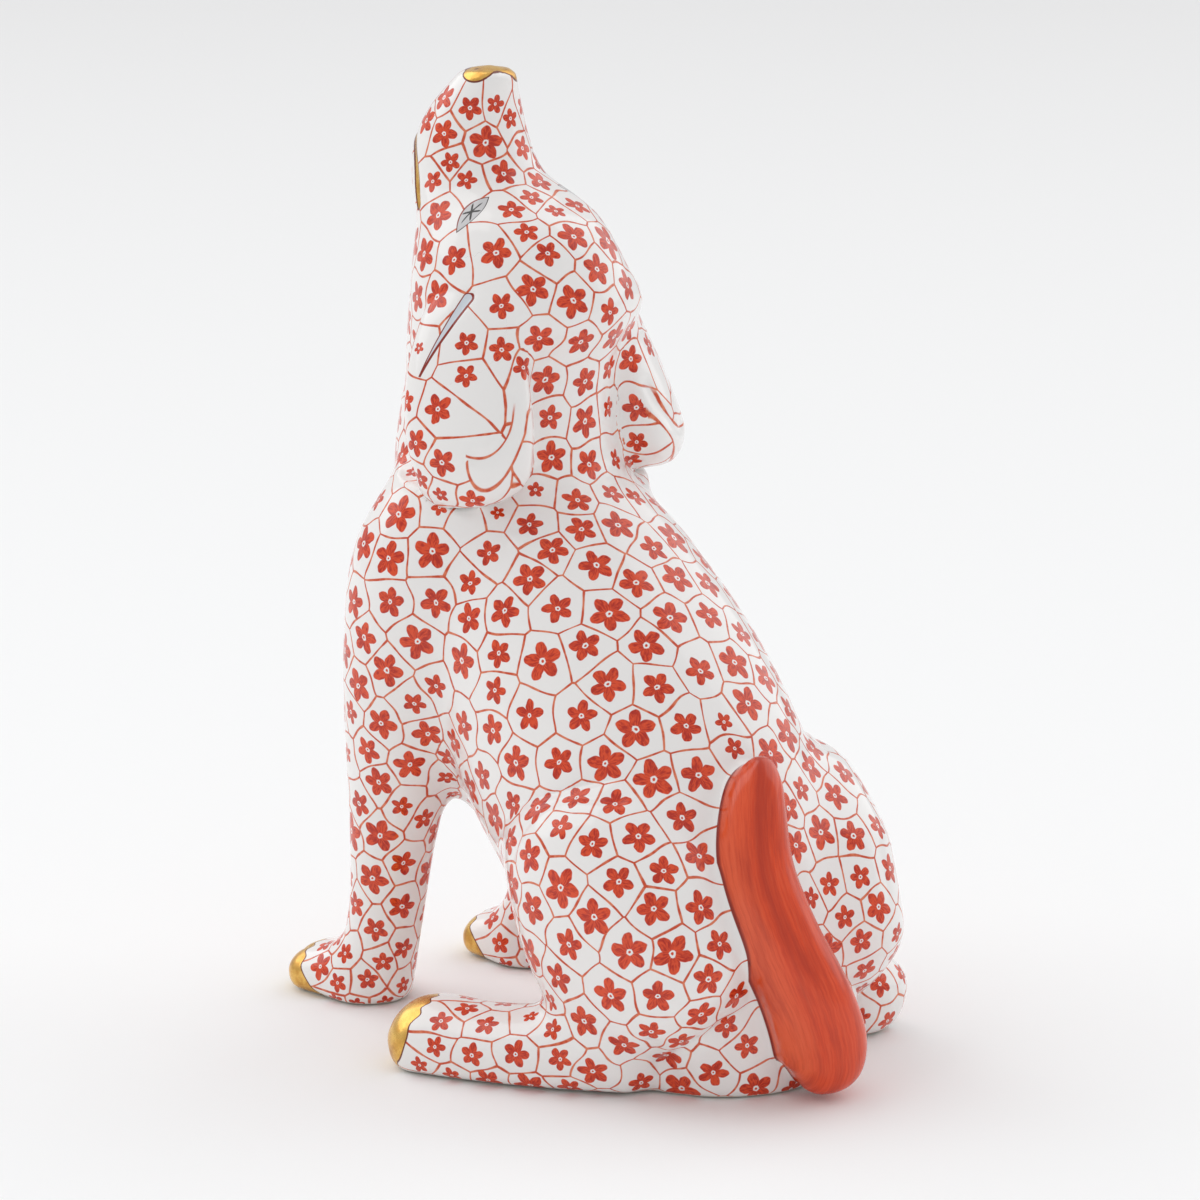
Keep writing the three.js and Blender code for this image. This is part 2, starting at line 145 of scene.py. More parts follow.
@dataclass(frozen=True)
class Sweep:
    """A closed form swept through stations.

    A station is x, y, z of the section's centre, then its half-width along side, its half-depth
    behind and its half-depth before. A section is two half ellipses that share the half-width.
    """

    rows: tuple[Row, ...]
    blend: float = 3.0
    round_start: float = 0.0
    round_end: float = 0.0
    side: Point = (1.0, 0.0, 0.0)
    level: bool = False

    def mirrored(self) -> Sweep:
        """Return the same form on the dog's other side."""
        rows = tuple((-row[0], *row[1:]) for row in self.rows)
        return replace(self, rows=rows, side=(self.side[0], -self.side[1], -self.side[2]))

    @cached_property
    def spine(self) -> dict[str, Array]:
        """Work out the sections at even steps along the form.

        Returns:
            The place along the spine, the centre, the along, across and back directions and the
            three half sizes of each section.
        """
        rows = np.array(self.rows, float)
        rough = np.linalg.norm(np.diff(rows[:, :3], axis=0), axis=1).sum()
        count = max(12, int(rough / SECTION_SPACING))
        fine = catmull_rom(rows, 6 * count)
        steps = np.linalg.norm(np.diff(fine[:, :3], axis=0), axis=1)
        run = np.concatenate([[0.0], np.cumsum(steps)])
        place = np.linspace(0, run[-1], count)
        even = np.stack([np.interp(place, run, fine[:, k]) for k in range(6)], axis=1)
        along = unit(np.gradient(even[:, :3], axis=0))
        if self.level:
            along = np.tile(np.array([0.0, 0.0, 1.0]), (count, 1))
        side = np.array(self.side)
        across = unit(side - (along @ side)[:, None] * along)
        fullness = np.ones(count)
        for rounding, way in ((self.round_start, place), (self.round_end, place[-1] - place)):
            if rounding:
                shortfall = np.clip(1 - way / rounding, 0, 1)
                fullness = np.minimum(fullness, np.sqrt(1 - shortfall**2))
        return {
            "place": place,
            "centre": even[:, :3],
            "along": along,
            "across": across,
            "back": np.cross(along, across),
            "half": np.maximum(even[:, 3:] * fullness[:, None], 1e-3),
        }

    def grid(self, around: int) -> tuple[Array, Array]:
        """Lay a grid of points over the form, in rings, with a pole at each end.

        A point is centre + half-width cos(angle) across + half-depth sin(angle) back.

        Args:
            around: How many points each ring has.

        Returns:
            The points, and the triangles between them.
        """
        s = self.spine
        angle = np.arange(around) / around * 2 * np.pi
        cosine, sine = np.cos(angle), np.sin(angle)
        wide = s["half"][:, :1] * cosine
        deep = np.where(sine >= 0, s["half"][:, 1:2], s["half"][:, 2:3]) * sine
        rings = s["centre"][:, None] + wide[..., None] * s["across"][:, None]
        rings = rings + deep[..., None] * s["back"][:, None]
        count = len(rings)
        points = np.concatenate([rings.reshape(-1, 3), s["centre"][[0, -1]]])
        row, column = np.meshgrid(np.arange(count - 1), np.arange(around), indexing="ij")
        a = (row * around + column).ravel()
        b = (row * around + (column + 1) % around).ravel()
        ring = np.arange(around)
        beside = (ring + 1) % around
        last = (count - 1) * around
        faces = (
            (a, b, b + around),
            (a, b + around, a + around),
            (np.full(around, count * around), beside, ring),
            (np.full(around, count * around + 1), last + ring, last + beside),
        )
        return points, np.concatenate([np.stack(corners, 1) for corners in faces])

    def distance(self, points: Array) -> Array:
        """Measure how far points lie outside the form, below zero inside it.

        The nearest place on the spine is found among coarse steps and refined along the
        tangent. In that section the distance is r - r / q, with r the distance from the centre
        and q that distance as a share of the ellipse in the same direction.

        Args:
            points: The points, as rows of x, y, z.

        Returns:
            One distance for each point, and a large one for points that are out of reach.
        """
        s = self.spine
        far = s["half"].max() + REACH
        low, high = s["centre"].min(0) - far, s["centre"].max(0) + far
        result = np.full(len(points), FAR)
        near = np.all((points > low) & (points < high), axis=1)
        if not near.any():
            return result
        p = points[near]
        step = s["place"][1]
        last = len(s["place"]) - 1
        table = np.hstack([s["centre"], s["along"], s["across"], s["back"], s["half"]])
        if self.level:
            place = np.interp(p[:, 2], s["centre"][:, 2], s["place"])
        else:
            coarse = s["centre"][::COARSE]
            square = (coarse**2).sum(1)[None] - 2 * p @ coarse.T
            place = s["place"][::COARSE][square.argmin(1)]
        for _ in range(1 if self.level else 5):
            at = np.clip(place / step, 0, last - 1e-6)
            index = at.astype(int)
            share = (at - index)[:, None]
            found = table[index] * (1 - share) + table[index + 1] * share
            offset = p - found[:, :3]
            ahead = (offset * found[:, 3:6]).sum(1)
            if not self.level:
                place = np.clip(place + 0.8 * ahead, 0, s["place"][-1])
        x = (offset * found[:, 6:9]).sum(1)
        y = (offset * found[:, 9:12]).sum(1)
        deep = np.where(y >= 0, found[:, 13], found[:, 14])
        share = np.sqrt((x / found[:, 12]) ** 2 + (y / deep) ** 2)
        radius = np.hypot(x, y)
        gap = np.where(radius > 1e-6, radius - radius / np.maximum(share, 1e-9), -deep)
        below = (place <= 0) & (ahead < 0)
        beyond = (place >= s["place"][-1]) & (ahead > 0)
        out = np.where(below | beyond, np.abs(ahead), 0.0)
        result[near] = np.where(out > 0, np.hypot(np.maximum(gap, 0), out), gap)
        return result


@dataclass(frozen=True)
class Groove:
    """A channel pressed into the clay along a line, or a ridge where its depth is below zero."""

    line: tuple[Point, ...]
    width: float
    depth: float
    taper: float = 0.0

    def mirrored(self) -> Groove:
        """Return the same groove on the dog's other side."""
        return replace(self, line=tuple((-x, y, z) for x, y, z in self.line))

    def lift(self, points: Array) -> Array:
        """Say how far the groove moves the surface out, which is below zero.

        The depth falls off from the line as a bell curve of the given half-width. With a
        taper, the half-width shrinks by that share towards the line's end.

        Args:
            points: The points to move.

        Returns:
            One outward shift for each point.
        """
        path = catmull_rom(np.array(self.line), 12 * len(self.line))
        gap, share = nearest_on(path, points, 4 * self.width)
        width = self.width * (1 - self.taper * share)
        return -self.depth * np.exp(-((gap / width) ** 2))


@dataclass(frozen=True)
class Swell:
    """A pad of clay smoothed onto the surface, or a thumbed hollow where its height is below zero."""

    centre: Point
    spread: Point
    height: float

    def mirrored(self) -> Swell:
        """Return the same swell on the dog's other side."""
        return replace(self, centre=(-self.centre[0], *self.centre[1:]))

    def lift(self, points: Array) -> Array:
        """Say how far the pad moves each point out: its height, by a bell curve in x, y and z."""
        away = (points - np.array(self.centre)) / np.array(self.spread)
        return self.height * np.exp(-(away**2).sum(1))


def nearest_on(path: Array, points: Array, reach: float) -> tuple[Array, Array]:
    """Find how far points lie from a line, and where along it.

    Args:
        path: The line, as rows of x, y, z.
        points: The points to measure.
        reach: Points further than this from the line's box are left at a large distance.

    Returns:
        The distances, and the places along the line from 0 to 1.
    """
    gap = np.full(len(points), FAR)
    share = np.zeros(len(points))
    low, high = path.min(0) - reach, path.max(0) + reach
    near = np.all((points > low) & (points < high), axis=1)
    p = points[near]
    best = np.full(len(p), FAR)
    where = np.zeros(len(p))
    for k in range(len(path) - 1):
        edge = path[k + 1] - path[k]
        t = np.clip((p - path[k]) @ edge / (edge @ edge), 0, 1)
        d = np.linalg.norm(p - path[k] - t[:, None] * edge, axis=1)
        closer = d < best
        best = np.where(closer, d, best)
        where = np.where(closer, (k + t) / (len(path) - 1), where)
    gap[near] = best
    share[near] = where
    return gap, share


def both(*shapes: Sweep | Groove | Swell) -> list:
    """Return the shapes and their mirror images."""
    return [s for shape in shapes for s in (shape, shape.mirrored())]


def folded_over(points: Array) -> Array:
    """Return the points with the dog's right side laid over its left."""
    return np.hstack([np.abs(points[:, :1]), points[:, 1:]])


def placed(name: str, data: bpy.types.ID) -> bpy.types.Object:
    """Put a mesh, a lamp or a camera into the scene.

    Args:
        name: The object's name.
        data: What it shows.

    Returns:
        The object.
    """
    thing = bpy.data.objects.new(name, data)
    bpy.context.scene.collection.objects.link(thing)
    return thing


@dataclass(frozen=True)
class Torso:
    """The barrel and the breast: a hollow shell that stands on the rump, open at the vent."""

    barrel: Sweep = Sweep(
        (
            (0, 2.0, -6, 10.5, 12.0, 11.0), (0, 1.0, 4, 14.5, 13.8, 13.0),
            (0, -2.0, 14, 17.6, 16.0, 15.0), (0, -7.0, 25, 18.0, 17.3, 18.3),
            (0, -14.5, 36, 17.8, 17.2, 20.3), (0, -22.8, 47, 16.4, 14.6, 19.4),
            (0, -30.0, 58, 12.6, 11.1, 15.7), (0, -32.6, 70, 10.6, 10.6, 11.3),
        ),
        blend=4,
    )
    breast: Sweep = Sweep(
        (
            (0, -32.0, 62, 10.0, 8, 11.4), (0, -34.0, 54, 14.5, 9, 13.8),
            (0, -34.0, 44, 15.5, 9, 14.3), (0, -32.0, 34, 12.0, 9, 12.0),
            (0, -29.0, 26, 8.0, 8, 9.0), (0, -27.0, 21, 5.0, 6, 6.0),
        ),
        blend=4, round_start=4, round_end=4,
    )

    def sweeps(self) -> dict[Casting, list[Sweep]]:
        """Return the forms that the casting is made of."""
        return {Casting.TORSO: [self.barrel, self.breast]}

    def touches(self) -> list[Groove | Swell]:
        """Return the pads of the shoulder blades."""
        return both(Swell((11.5, -26.0, 50.0), (5.0, 6.0, 7.0), 0.5))


@dataclass(frozen=True)
class Head:
    """The skull and the raised muzzle, with the eye sockets, the nose pad and the slit mouth."""

    skull: Sweep = Sweep(
        (
            (0, -32.4, 58.0, 11.0, 10.8, 12.0), (0, -32.7, 63.0, 11.4, 11.0, 13.2),
            (0, -32.7, 68.7, 11.0, 11.0, 12.2), (0, -31.6, 75.4, 11.6, 11.8, 12.5),
            (0, -30.6, 80.5, 12.0, 13.0, 12.7), (0, -31.4, 85.6, 11.1, 12.0, 11.6),
            (0, -33.2, 89.4, 9.6, 11.2, 9.9), (0, -36.2, 92.0, 8.2, 9.1, 8.0),
            (0, -37.9, 94.2, 7.2, 7.2, 7.0), (0, -38.5, 97.3, 6.3, 6.3, 6.6),
            (0, -37.9, 101.0, 5.1, 5.0, 5.1), (0, -36.4, 104.4, 3.4, 3.4, 3.4),
            (0, -35.9, 105.9, 2.2, 2.2, 2.2),
        ),
        round_end=1.0, level=True,
    )
    left_ear: Sweep = Sweep(
        (
            (8.6, -28.6, 82.5, 4.6, 2.2, 2.2), (11.0, -27.2, 77.0, 6.3, 2.5, 2.5),
            (12.4, -25.7, 71.5, 7.1, 3.0, 4.5), (13.0, -24.5, 66.8, 7.0, 3.4, 6.0),
            (12.6, -23.9, 63.0, 6.0, 3.0, 6.0), (11.9, -23.9, 60.4, 4.4, 2.4, 5.0),
        ),
        blend=2.4, round_start=4, round_end=3, side=(-0.5, 0.85, 0.0),
    )
    right_ear: Sweep = Sweep(
        (
            (-8.6, -28.0, 83.5, 4.8, 2.4, 2.4), (-10.8, -27.2, 77.5, 6.0, 2.6, 2.6),
            (-12.7, -26.0, 71.5, 6.6, 3.0, 4.5), (-14.1, -24.6, 65.5, 6.7, 3.4, 6.5),
            (-14.8, -23.8, 60.6, 5.4, 3.3, 6.0),
        ),
        blend=2.0, round_start=4, round_end=4, side=(-0.7, -0.7, 0.0),
    )
    left_fold: tuple[Point, ...] = (
        (11.0, -20.0, 72.3), (11.7, -19.4, 70.1), (12.8, -19.4, 68.2), (14.1, -20.2, 66.7),
        (15.1, -21.4, 66.4),
    )
    right_fold: tuple[Point, ...] = (
        (-9.8, -20.7, 71.1), (-10.6, -20.1, 68.9), (-12.2, -19.8, 67.0), (-14.1, -20.2, 65.5),
        (-15.6, -21.1, 65.2),
    )
    ear_across: Point = (-0.51, 0.86, 0.0)
    left_rim: Point = (12.3, -20.7, 69.0)
    right_rim: Point = (-12.0, -21.6, 67.8)
    mouth: tuple[Point, ...] = (
        (7.9, -38.7, 91.0), (7.1, -40.2, 94.0), (5.9, -42.0, 97.0), (3.4, -43.9, 98.6),
        (0.0, -44.6, 99.0), (-3.4, -43.9, 98.6), (-5.9, -42.0, 97.0), (-7.1, -40.2, 94.0),
        (-7.9, -38.7, 91.0),
    )
    slit: tuple[Point, ...] = ((11.1, -26.7, 83.2), (13.4, -27.9, 79.8), (15.7, -28.6, 76.6))
    eye_ends: tuple[Point, Point] = ((9.4, -30.6, 89.3), (5.2, -30.2, 92.6))
    slit_facing: Point = (0.74, 0.55, 0.38)
    eye_facing: Point = (0.56, 0.28, 0.78)
    nose_lobe: Point = (1.5, -35.1, 105.2)
    lobe_drops: tuple[Point, Point] = ((0.3, -0.4, 0.3), (0.0, 0.1, 0.0))
    lobe_radii: tuple[float, float] = (1.65, 1.75)
    gold_level: float = 105.5
    lip_gold: float = 0.55
    nostril: Point = (1.4, -36.3, 105.7)

    def sweeps(self) -> dict[Casting, list[Sweep]]:
        """Sort the forms by casting.

        Returns:
            The forms that each casting is made of.
        """
        return {
            Casting.HEAD: [self.skull],
            Casting.LEFT_EAR: [self.left_ear],
            Casting.RIGHT_EAR: [self.right_ear],
        }

    def touches(self) -> list[Groove | Swell]:
        """Give the pads, hollows and lines of the face, the folds of the ears and the parted nose.

        Returns:
            The marks of the modeller's tools.
        """
        upper_lid = ((9.9, -29.6, 89.6), (7.9, -29.0, 91.8), (5.3, -29.4, 93.0))
        paired = both(
            Swell((7.3, -30.5, 90.9), (2.4, 1.8, 2.4), 0.35),
            Swell((6.5, -27.0, 91.5), (3.2, 2.5, 2.2), 0.35),
            Swell((9.3, -33.6, 91.5), (2.4, 3.0, 2.8), -0.35),
            Swell(self.nose_lobe, (1.5, 1.7, 1.3), 0.3),
            Swell(self.nostril, (0.55, 0.7, 0.8), -0.4),
            Groove(upper_lid, 0.55, 0.3),
            Groove(self.slit, 0.55, 0.5, taper=0.5),
        )
        return paired + [
            Groove(self.left_fold, 0.75, 0.55),
            Groove(self.right_fold, 0.75, 0.55),
            Groove(self.mouth, 0.42, 0.75),
            Groove(((0.0, -38.2, 105.9), (0.0, -36.0, 106.0), (0.0, -33.8, 105.3)), 0.4, 0.3),
            Swell((-10.4, -21.5, 80.5), (3.0, 2.6, 3.4), 0.9),
        ]


@dataclass(frozen=True)
class Forequarters:
    """The two forelegs, straight under the breast, each with its paw."""

    leg: Sweep = Sweep(
        (
            (9.8, -31.5, 59.5, 6.0, 6.5, 7.9), (12.4, -33.6, 52, 7.0, 8.0, 8.6),
            (13.2, -34.6, 42, 6.8, 8.0, 7.8), (12.8, -36.3, 31, 5.9, 7.2, 6.2),
            (12.5, -38.3, 20, 4.8, 5.2, 4.7), (12.3, -39.7, 12, 4.2, 4.4, 4.3),
            (12.2, -41.6, 4, 4.3, 4.1, 4.3), (12.2, -42.6, -1, 4.3, 4.1, 4.3),
        ),
        blend=4,
    )
    paw: Sweep = Sweep(
        (
            (12.3, -38.9, 2.3, 4.3, 3.2, 5), (12.6, -43.0, 2.6, 5.1, 4.4, 5),
            (12.8, -48.0, 2.3, 5.4, 3.3, 5), (13.0, -53.0, 1.8, 5.0, 2.4, 5),
        ),
        blend=2.5, round_start=4, round_end=3.5,
    )
    right_foot_in: float = 2.4
    right_foot_back: float = 2.8

    def touches(self) -> list[Groove | Swell]:
        """Part the toes of the two forepaws with three lines each.

        Returns:
            The lines.
        """
        found: list[Groove | Swell] = []
        for paw in (self.paw, self.right_paw()):
            x, tip, middle, half = paw.rows[-1][:4]
            for share in (-0.42, 0.0, 0.42):
                across = x + share * half
                top, nail = (across, tip + 3.4, middle + 2.6), (across, tip + 1.0, middle + 1.7)
                found.append(Groove((top, nail, (across, tip + 0.2, 0.3)), 0.42, 0.4))
        return found

    def right_leg(self) -> Sweep:
        """Lean the leg in and back on its way down, with the square of the way, and mirror it.

        Returns:
            The right leg.
        """
        top, ground = self.leg.rows[0][2], self.leg.rows[-1][2]
        rows = []
        for x, y, z, *half in self.leg.rows:
            share = ((top - z) / (top - ground)) ** 2
            rows.append((x - share * self.right_foot_in, y + share * self.right_foot_back, z, *half))
        return replace(self.leg, rows=tuple(rows)).mirrored()

    def right_paw(self) -> Sweep:
        """Move the paw as far in and back as the right leg, shorten it and mirror it.

        Returns:
            The right paw.
        """
        heel = self.paw.rows[0][1]
        rows = []
        for x, y, *rest in self.paw.rows:
            back = self.right_foot_back + 0.1 * (heel - y)
            rows.append((x - self.right_foot_in - 0.3, y + back, *rest))
        return replace(self.paw, rows=tuple(rows)).mirrored()

    def sweeps(self) -> dict[Casting, list[Sweep]]:
        """Sort the forms by casting.

        Returns:
            The forms that each casting is made of.
        """
        return {
            Casting.LEFT_FORELEG: [self.leg, self.paw],
            Casting.RIGHT_FORELEG: [self.right_leg(), self.right_paw()],
        }


@dataclass(frozen=True)
class Hindquarters:
    """The folded hind legs, whose feet turn out, and the tail laid up the rump."""

    haunch: Sweep = Sweep(
        (
            (11.0, 9.0, 7.0, 5.5, 7.5, 7.5), (12.2, 5.5, 12.0, 7.8, 10.5, 10.5),
            (13.2, 0.5, 18.0, 8.8, 12.5, 12.5), (14.2, -3.5, 25.0, 8.2, 10.5, 10.4),
            (14.5, -6.5, 32.5, 6.0, 6.5, 6.2),
        ),
        blend=6.0, round_start=5, round_end=5,
    )
    shank: Sweep = Sweep(
        (
            (15.3, -6.4, 27, 5.5, 5.5, 5.5), (15.2, -4.3, 19, 5.4, 5.4, 5.4),
            (14.5, -1.2, 10, 5.2, 5.2, 5.2), (14.0, 0.0, 3, 5.2, 5.2, 5.2),
        ),
        blend=2.5, round_start=4, round_end=3,
    )
    left_foot: Sweep = Sweep(
        (
            (11.0, 4.8, 4.8, 5.2, 4.0, 5), (12.5, 0.9, 4.8, 6.0, 5.0, 6),
            (15.1, -3.4, 4.5, 6.3, 5.2, 6), (18.1, -8.6, 4.0, 6.1, 4.1, 6),
            (20.8, -14.0, 3.6, 5.9, 4.0, 6), (23.1, -19.4, 3.3, 5.7, 4.5, 6),
            (25.0, -24.2, 2.5, 5.0, 3.2, 6),
        ),
        blend=2.5, round_start=4, round_end=4,
    )
    right_foot: Sweep = Sweep(
        (
            (-19.4, 8.6, 4.3, 5.2, 3.4, 5), (-19.2, 4.6, 4.6, 5.9, 4.4, 6),
            (-19.0, -0.5, 4.5, 6.2, 5.0, 6), (-19.7, -7.0, 4.0, 6.1, 4.2, 6),
            (-21.2, -13.4, 3.6, 5.9, 4.0, 6), (-23.1, -19.2, 3.3, 5.7, 4.5, 6),
            (-25.0, -24.2, 2.5, 5.0, 3.2, 6),
        ),
        blend=2.5, round_start=4, round_end=4,
    )
    tail: Sweep = Sweep(
        (
            (0.8, 16.8, 0.5, 2.8, 3.2, 6.0), (0.2, 17.6, 4.8, 4.8, 3.5, 8.0),
            (1.7, 17.3, 10.5, 4.8, 3.5, 8.0), (4.1, 15.1, 18.0, 4.3, 3.3, 6.5),
            (5.1, 12.5, 25.0, 4.0, 3.2, 5.0), (4.0, 10.7, 31.5, 3.4, 3.0, 4.0),
            (1.4, 9.2, 36.9, 2.1, 2.3, 2.3),
        ),
        blend=2.2, round_start=3.5, round_end=4, side=(0.9, -0.4, 0.0),
    )

    def touches(self) -> list[Groove | Swell]:
        """Press in the creases round the haunches and between the toes.

        Returns:
            The lines.
        """
        knee = (
            (21.2, -9.2, 26.0), (20.6, -7.6, 29.4), (19.2, -5.8, 31.9), (17.6, -2.2, 33.2),
            (15.6, 1.6, 33.0),
        )
        rump = ((11.6, 7.4, 0.5), (13.6, 6.8, 4.5), (16.6, 8.0, 8.0))
        found = both(Groove(knee, 0.9, 0.4), Groove(rump, 1.0, 0.5))
        for foot in (self.left_foot, self.right_foot):
            x, tip, middle, half = foot.rows[-1][:4]
            turn = math.copysign(0.37, x)
            for share in (-0.45, 0.0, 0.45):
                aside = share * half
                top = (x + aside * 0.93 - 3.6 * turn, tip + aside * turn + 3.4, middle + 3.4)
                nail = (top[0] + 2.6 * turn, top[1] - 2.4, middle + 2.2)
                found.append(Groove((top, nail, (top[0] + 3.4 * turn, top[1] - 3.3, 0.3)), 0.45, 0.4))
        return found

    def sweeps(self) -> dict[Casting, list[Sweep]]:
        """Sort the forms by casting, with the haunch and the shank alike on both sides.

        Returns:
            The forms that each casting is made of.
        """
        return {
            Casting.LEFT_HIND_LEG: [self.haunch, self.shank, self.left_foot],
            Casting.RIGHT_HIND_LEG: [self.haunch.mirrored(), self.shank.mirrored(), self.right_foot],
            Casting.TAIL: [self.tail],
        }


@dataclass(frozen=True)
class Vent:
    """The vent hole in the base, and the hollow above it as far as a light reaches.

    The hollow's profile is rows of height, radius and the circle's place from front to back.
    """

    lead: float = -5.5
    radius: float = 3.5
    hollow: tuple[Point, ...] = (
        (0.5, 3.2, -5.5), (3.0, 3.2, -5.5), (3.8, 4.0, -5.5), (5.0, 5.0, -4.5), (8.0, 9.0, -1.5),
        (14.0, 12.0, -1.5), (22.0, 12.5, -4.0), (30.0, 11.0, -9.0), (36.0, 6.0, -13.0),
        (38.0, 0.6, -14.0),
    )


@dataclass(frozen=True)
class Clay:
    """The whole dog as one body of clay, before it is glazed."""

    torso: Torso = Torso()
    head: Head = Head()
    forequarters: Forequarters = Forequarters()
    hindquarters: Hindquarters = Hindquarters()

    def makers(self) -> tuple[Torso, Head, Forequarters, Hindquarters]:
        """Return the sub-assemblies that the clay is modelled in."""
        return self.torso, self.head, self.forequarters, self.hindquarters

    def castings(self) -> dict[Casting, list[Sweep]]:
        """Collect the forms of each casting, in the order of Casting.

        Returns:
            The forms, by casting.
        """
        found: dict[Casting, list[Sweep]] = {}
        for maker in self.makers():
            found.update(maker.sweeps())
        return {casting: found[casting] for casting in Casting}

    def distances(self, points: Array) -> Array:
        """Measure how far points lie from each casting.

        The head begins where the torso ends, at the neck joint, and the tail's edge is drawn
        a little inside the crease that the potter's sponge left along it.

        Args:
            points: The points to measure.

        Returns:
            One row for each point and one column for each casting.
        """
        columns = []
        for casting, sweeps in self.castings().items():
            gap = np.minimum.reduce([sweep.distance(points) for sweep in sweeps])
            if casting is Casting.TORSO:
                gap = np.where(points[:, 2] > NECK_HEIGHT, FAR, gap)
            if casting is Casting.HEAD:
                gap = np.where(points[:, 2] < NECK_HEIGHT, FAR, gap)
            if casting is Casting.TAIL:
                gap = 3.0 * gap + 0.1
            columns.append(gap)
        return np.stack(columns, axis=1)

    def distance(self, points: Array) -> Array:
        """Measure how far points lie from the finished clay, with its fillets and tool marks.

        Args:
            points: The points to measure.

        Returns:
            One distance for each point, below zero inside the clay.
        """
        total = np.full(len(points), FAR)
        for sweeps in self.castings().values():
            for sweep in sweeps:
                total = smooth_union(total, sweep.distance(points), sweep.blend)
        for maker in self.makers():
            for touch in maker.touches():
                total = total - touch.lift(points)
        return -smooth_union(-total, points[:, 2], FOOT_ROUNDING)


def gradient(measure: Callable[[Array], Array], points: Array, value: Array, step: float) -> Array:
    """Find which way a measure grows from its value at the points, by a step in x, y and z."""
    return np.stack([(measure(points + step * axis) - value) / step for axis in np.eye(3)], axis=1)


def solid_from_sweeps(sweeps: list[Sweep]) -> bpy.types.Object:
    """Join the forms, cut off at the ground and closed there, as one mesh of many shells.

    Args:
        sweeps: The forms.

    Returns:
        A new object, in millimetres.
    """
    grids = [sweep.grid(AROUND) for sweep in sweeps]
    before = np.cumsum([0] + [len(points) for points, _ in grids])
    points = np.concatenate([points for points, _ in grids])
    faces = np.concatenate([faces + start for (_, faces), start in zip(grids, before)])
    mesh = bpy.data.meshes.new("clay")
    mesh.from_pydata(points.tolist(), [], faces.tolist())
    shells = bmesh.new()
    shells.from_mesh(mesh)
    everything = shells.verts[:] + shells.edges[:] + shells.faces[:]
    bmesh.ops.bisect_plane(
        shells, geom=everything, plane_co=(0, 0, 0), plane_no=(0, 0, -1), clear_outer=True
    )
    rims = [edge for edge in shells.edges if edge.is_boundary]
    bmesh.ops.holes_fill(shells, edges=rims)
    bmesh.ops.recalc_face_normals(shells, faces=shells.faces[:])
    shells.to_mesh(mesh)
    shells.free()
    return placed("clay", mesh)


def vertex_normals(points: Array, quads: Array) -> Array:
    """Average the faces' normals at each corner they share.

    A four-cornered face's normal is the cross product of its diagonals.

    Args:
        points: The mesh's points.
        quads: Its faces, as rows of four points.

    Returns:
        One unit normal for each point.
    """
    a, b, c, d = (points[quads[:, k]] for k in range(4))
    face = np.cross(c - a, d - b)
    total = np.zeros_like(points)
    for corner in range(4):
        for axis in range(3):
            total[:, axis] += np.bincount(quads[:, corner], face[:, axis], len(points))
    return unit(total)


def edges_round(quads: Array) -> tuple[Array, Array]:
    """Return the first and the last points of the four edges of each face."""
    return quads.T.ravel(), np.roll(quads, -1, axis=1).T.ravel()


def neighbour_mean(points: Array, quads: Array) -> Array:
    """Average the points that each point shares an edge with.

    Args:
        points: The mesh's points.
        quads: Its faces.

    Returns:
        One mean for each point.
    """
    start, end = edges_round(quads)
    count = np.bincount(start, minlength=len(points))
    columns = [np.bincount(start, points[end, axis], len(points)) / count for axis in range(3)]
    return np.stack(columns, axis=1)


def drift(points: Array, quads: Array) -> tuple[Array, Array]:
    """Find how far the points are from their neighbours' means, along the surface.

    Args:
        points: The mesh's points.
        quads: Its faces.

    Returns:
        The way from each point, and the points' normals.
    """
    normals = vertex_normals(points, quads)
    shift = neighbour_mean(points, quads) - points
    return shift - (shift * normals).sum(1)[:, None] * normals, normals


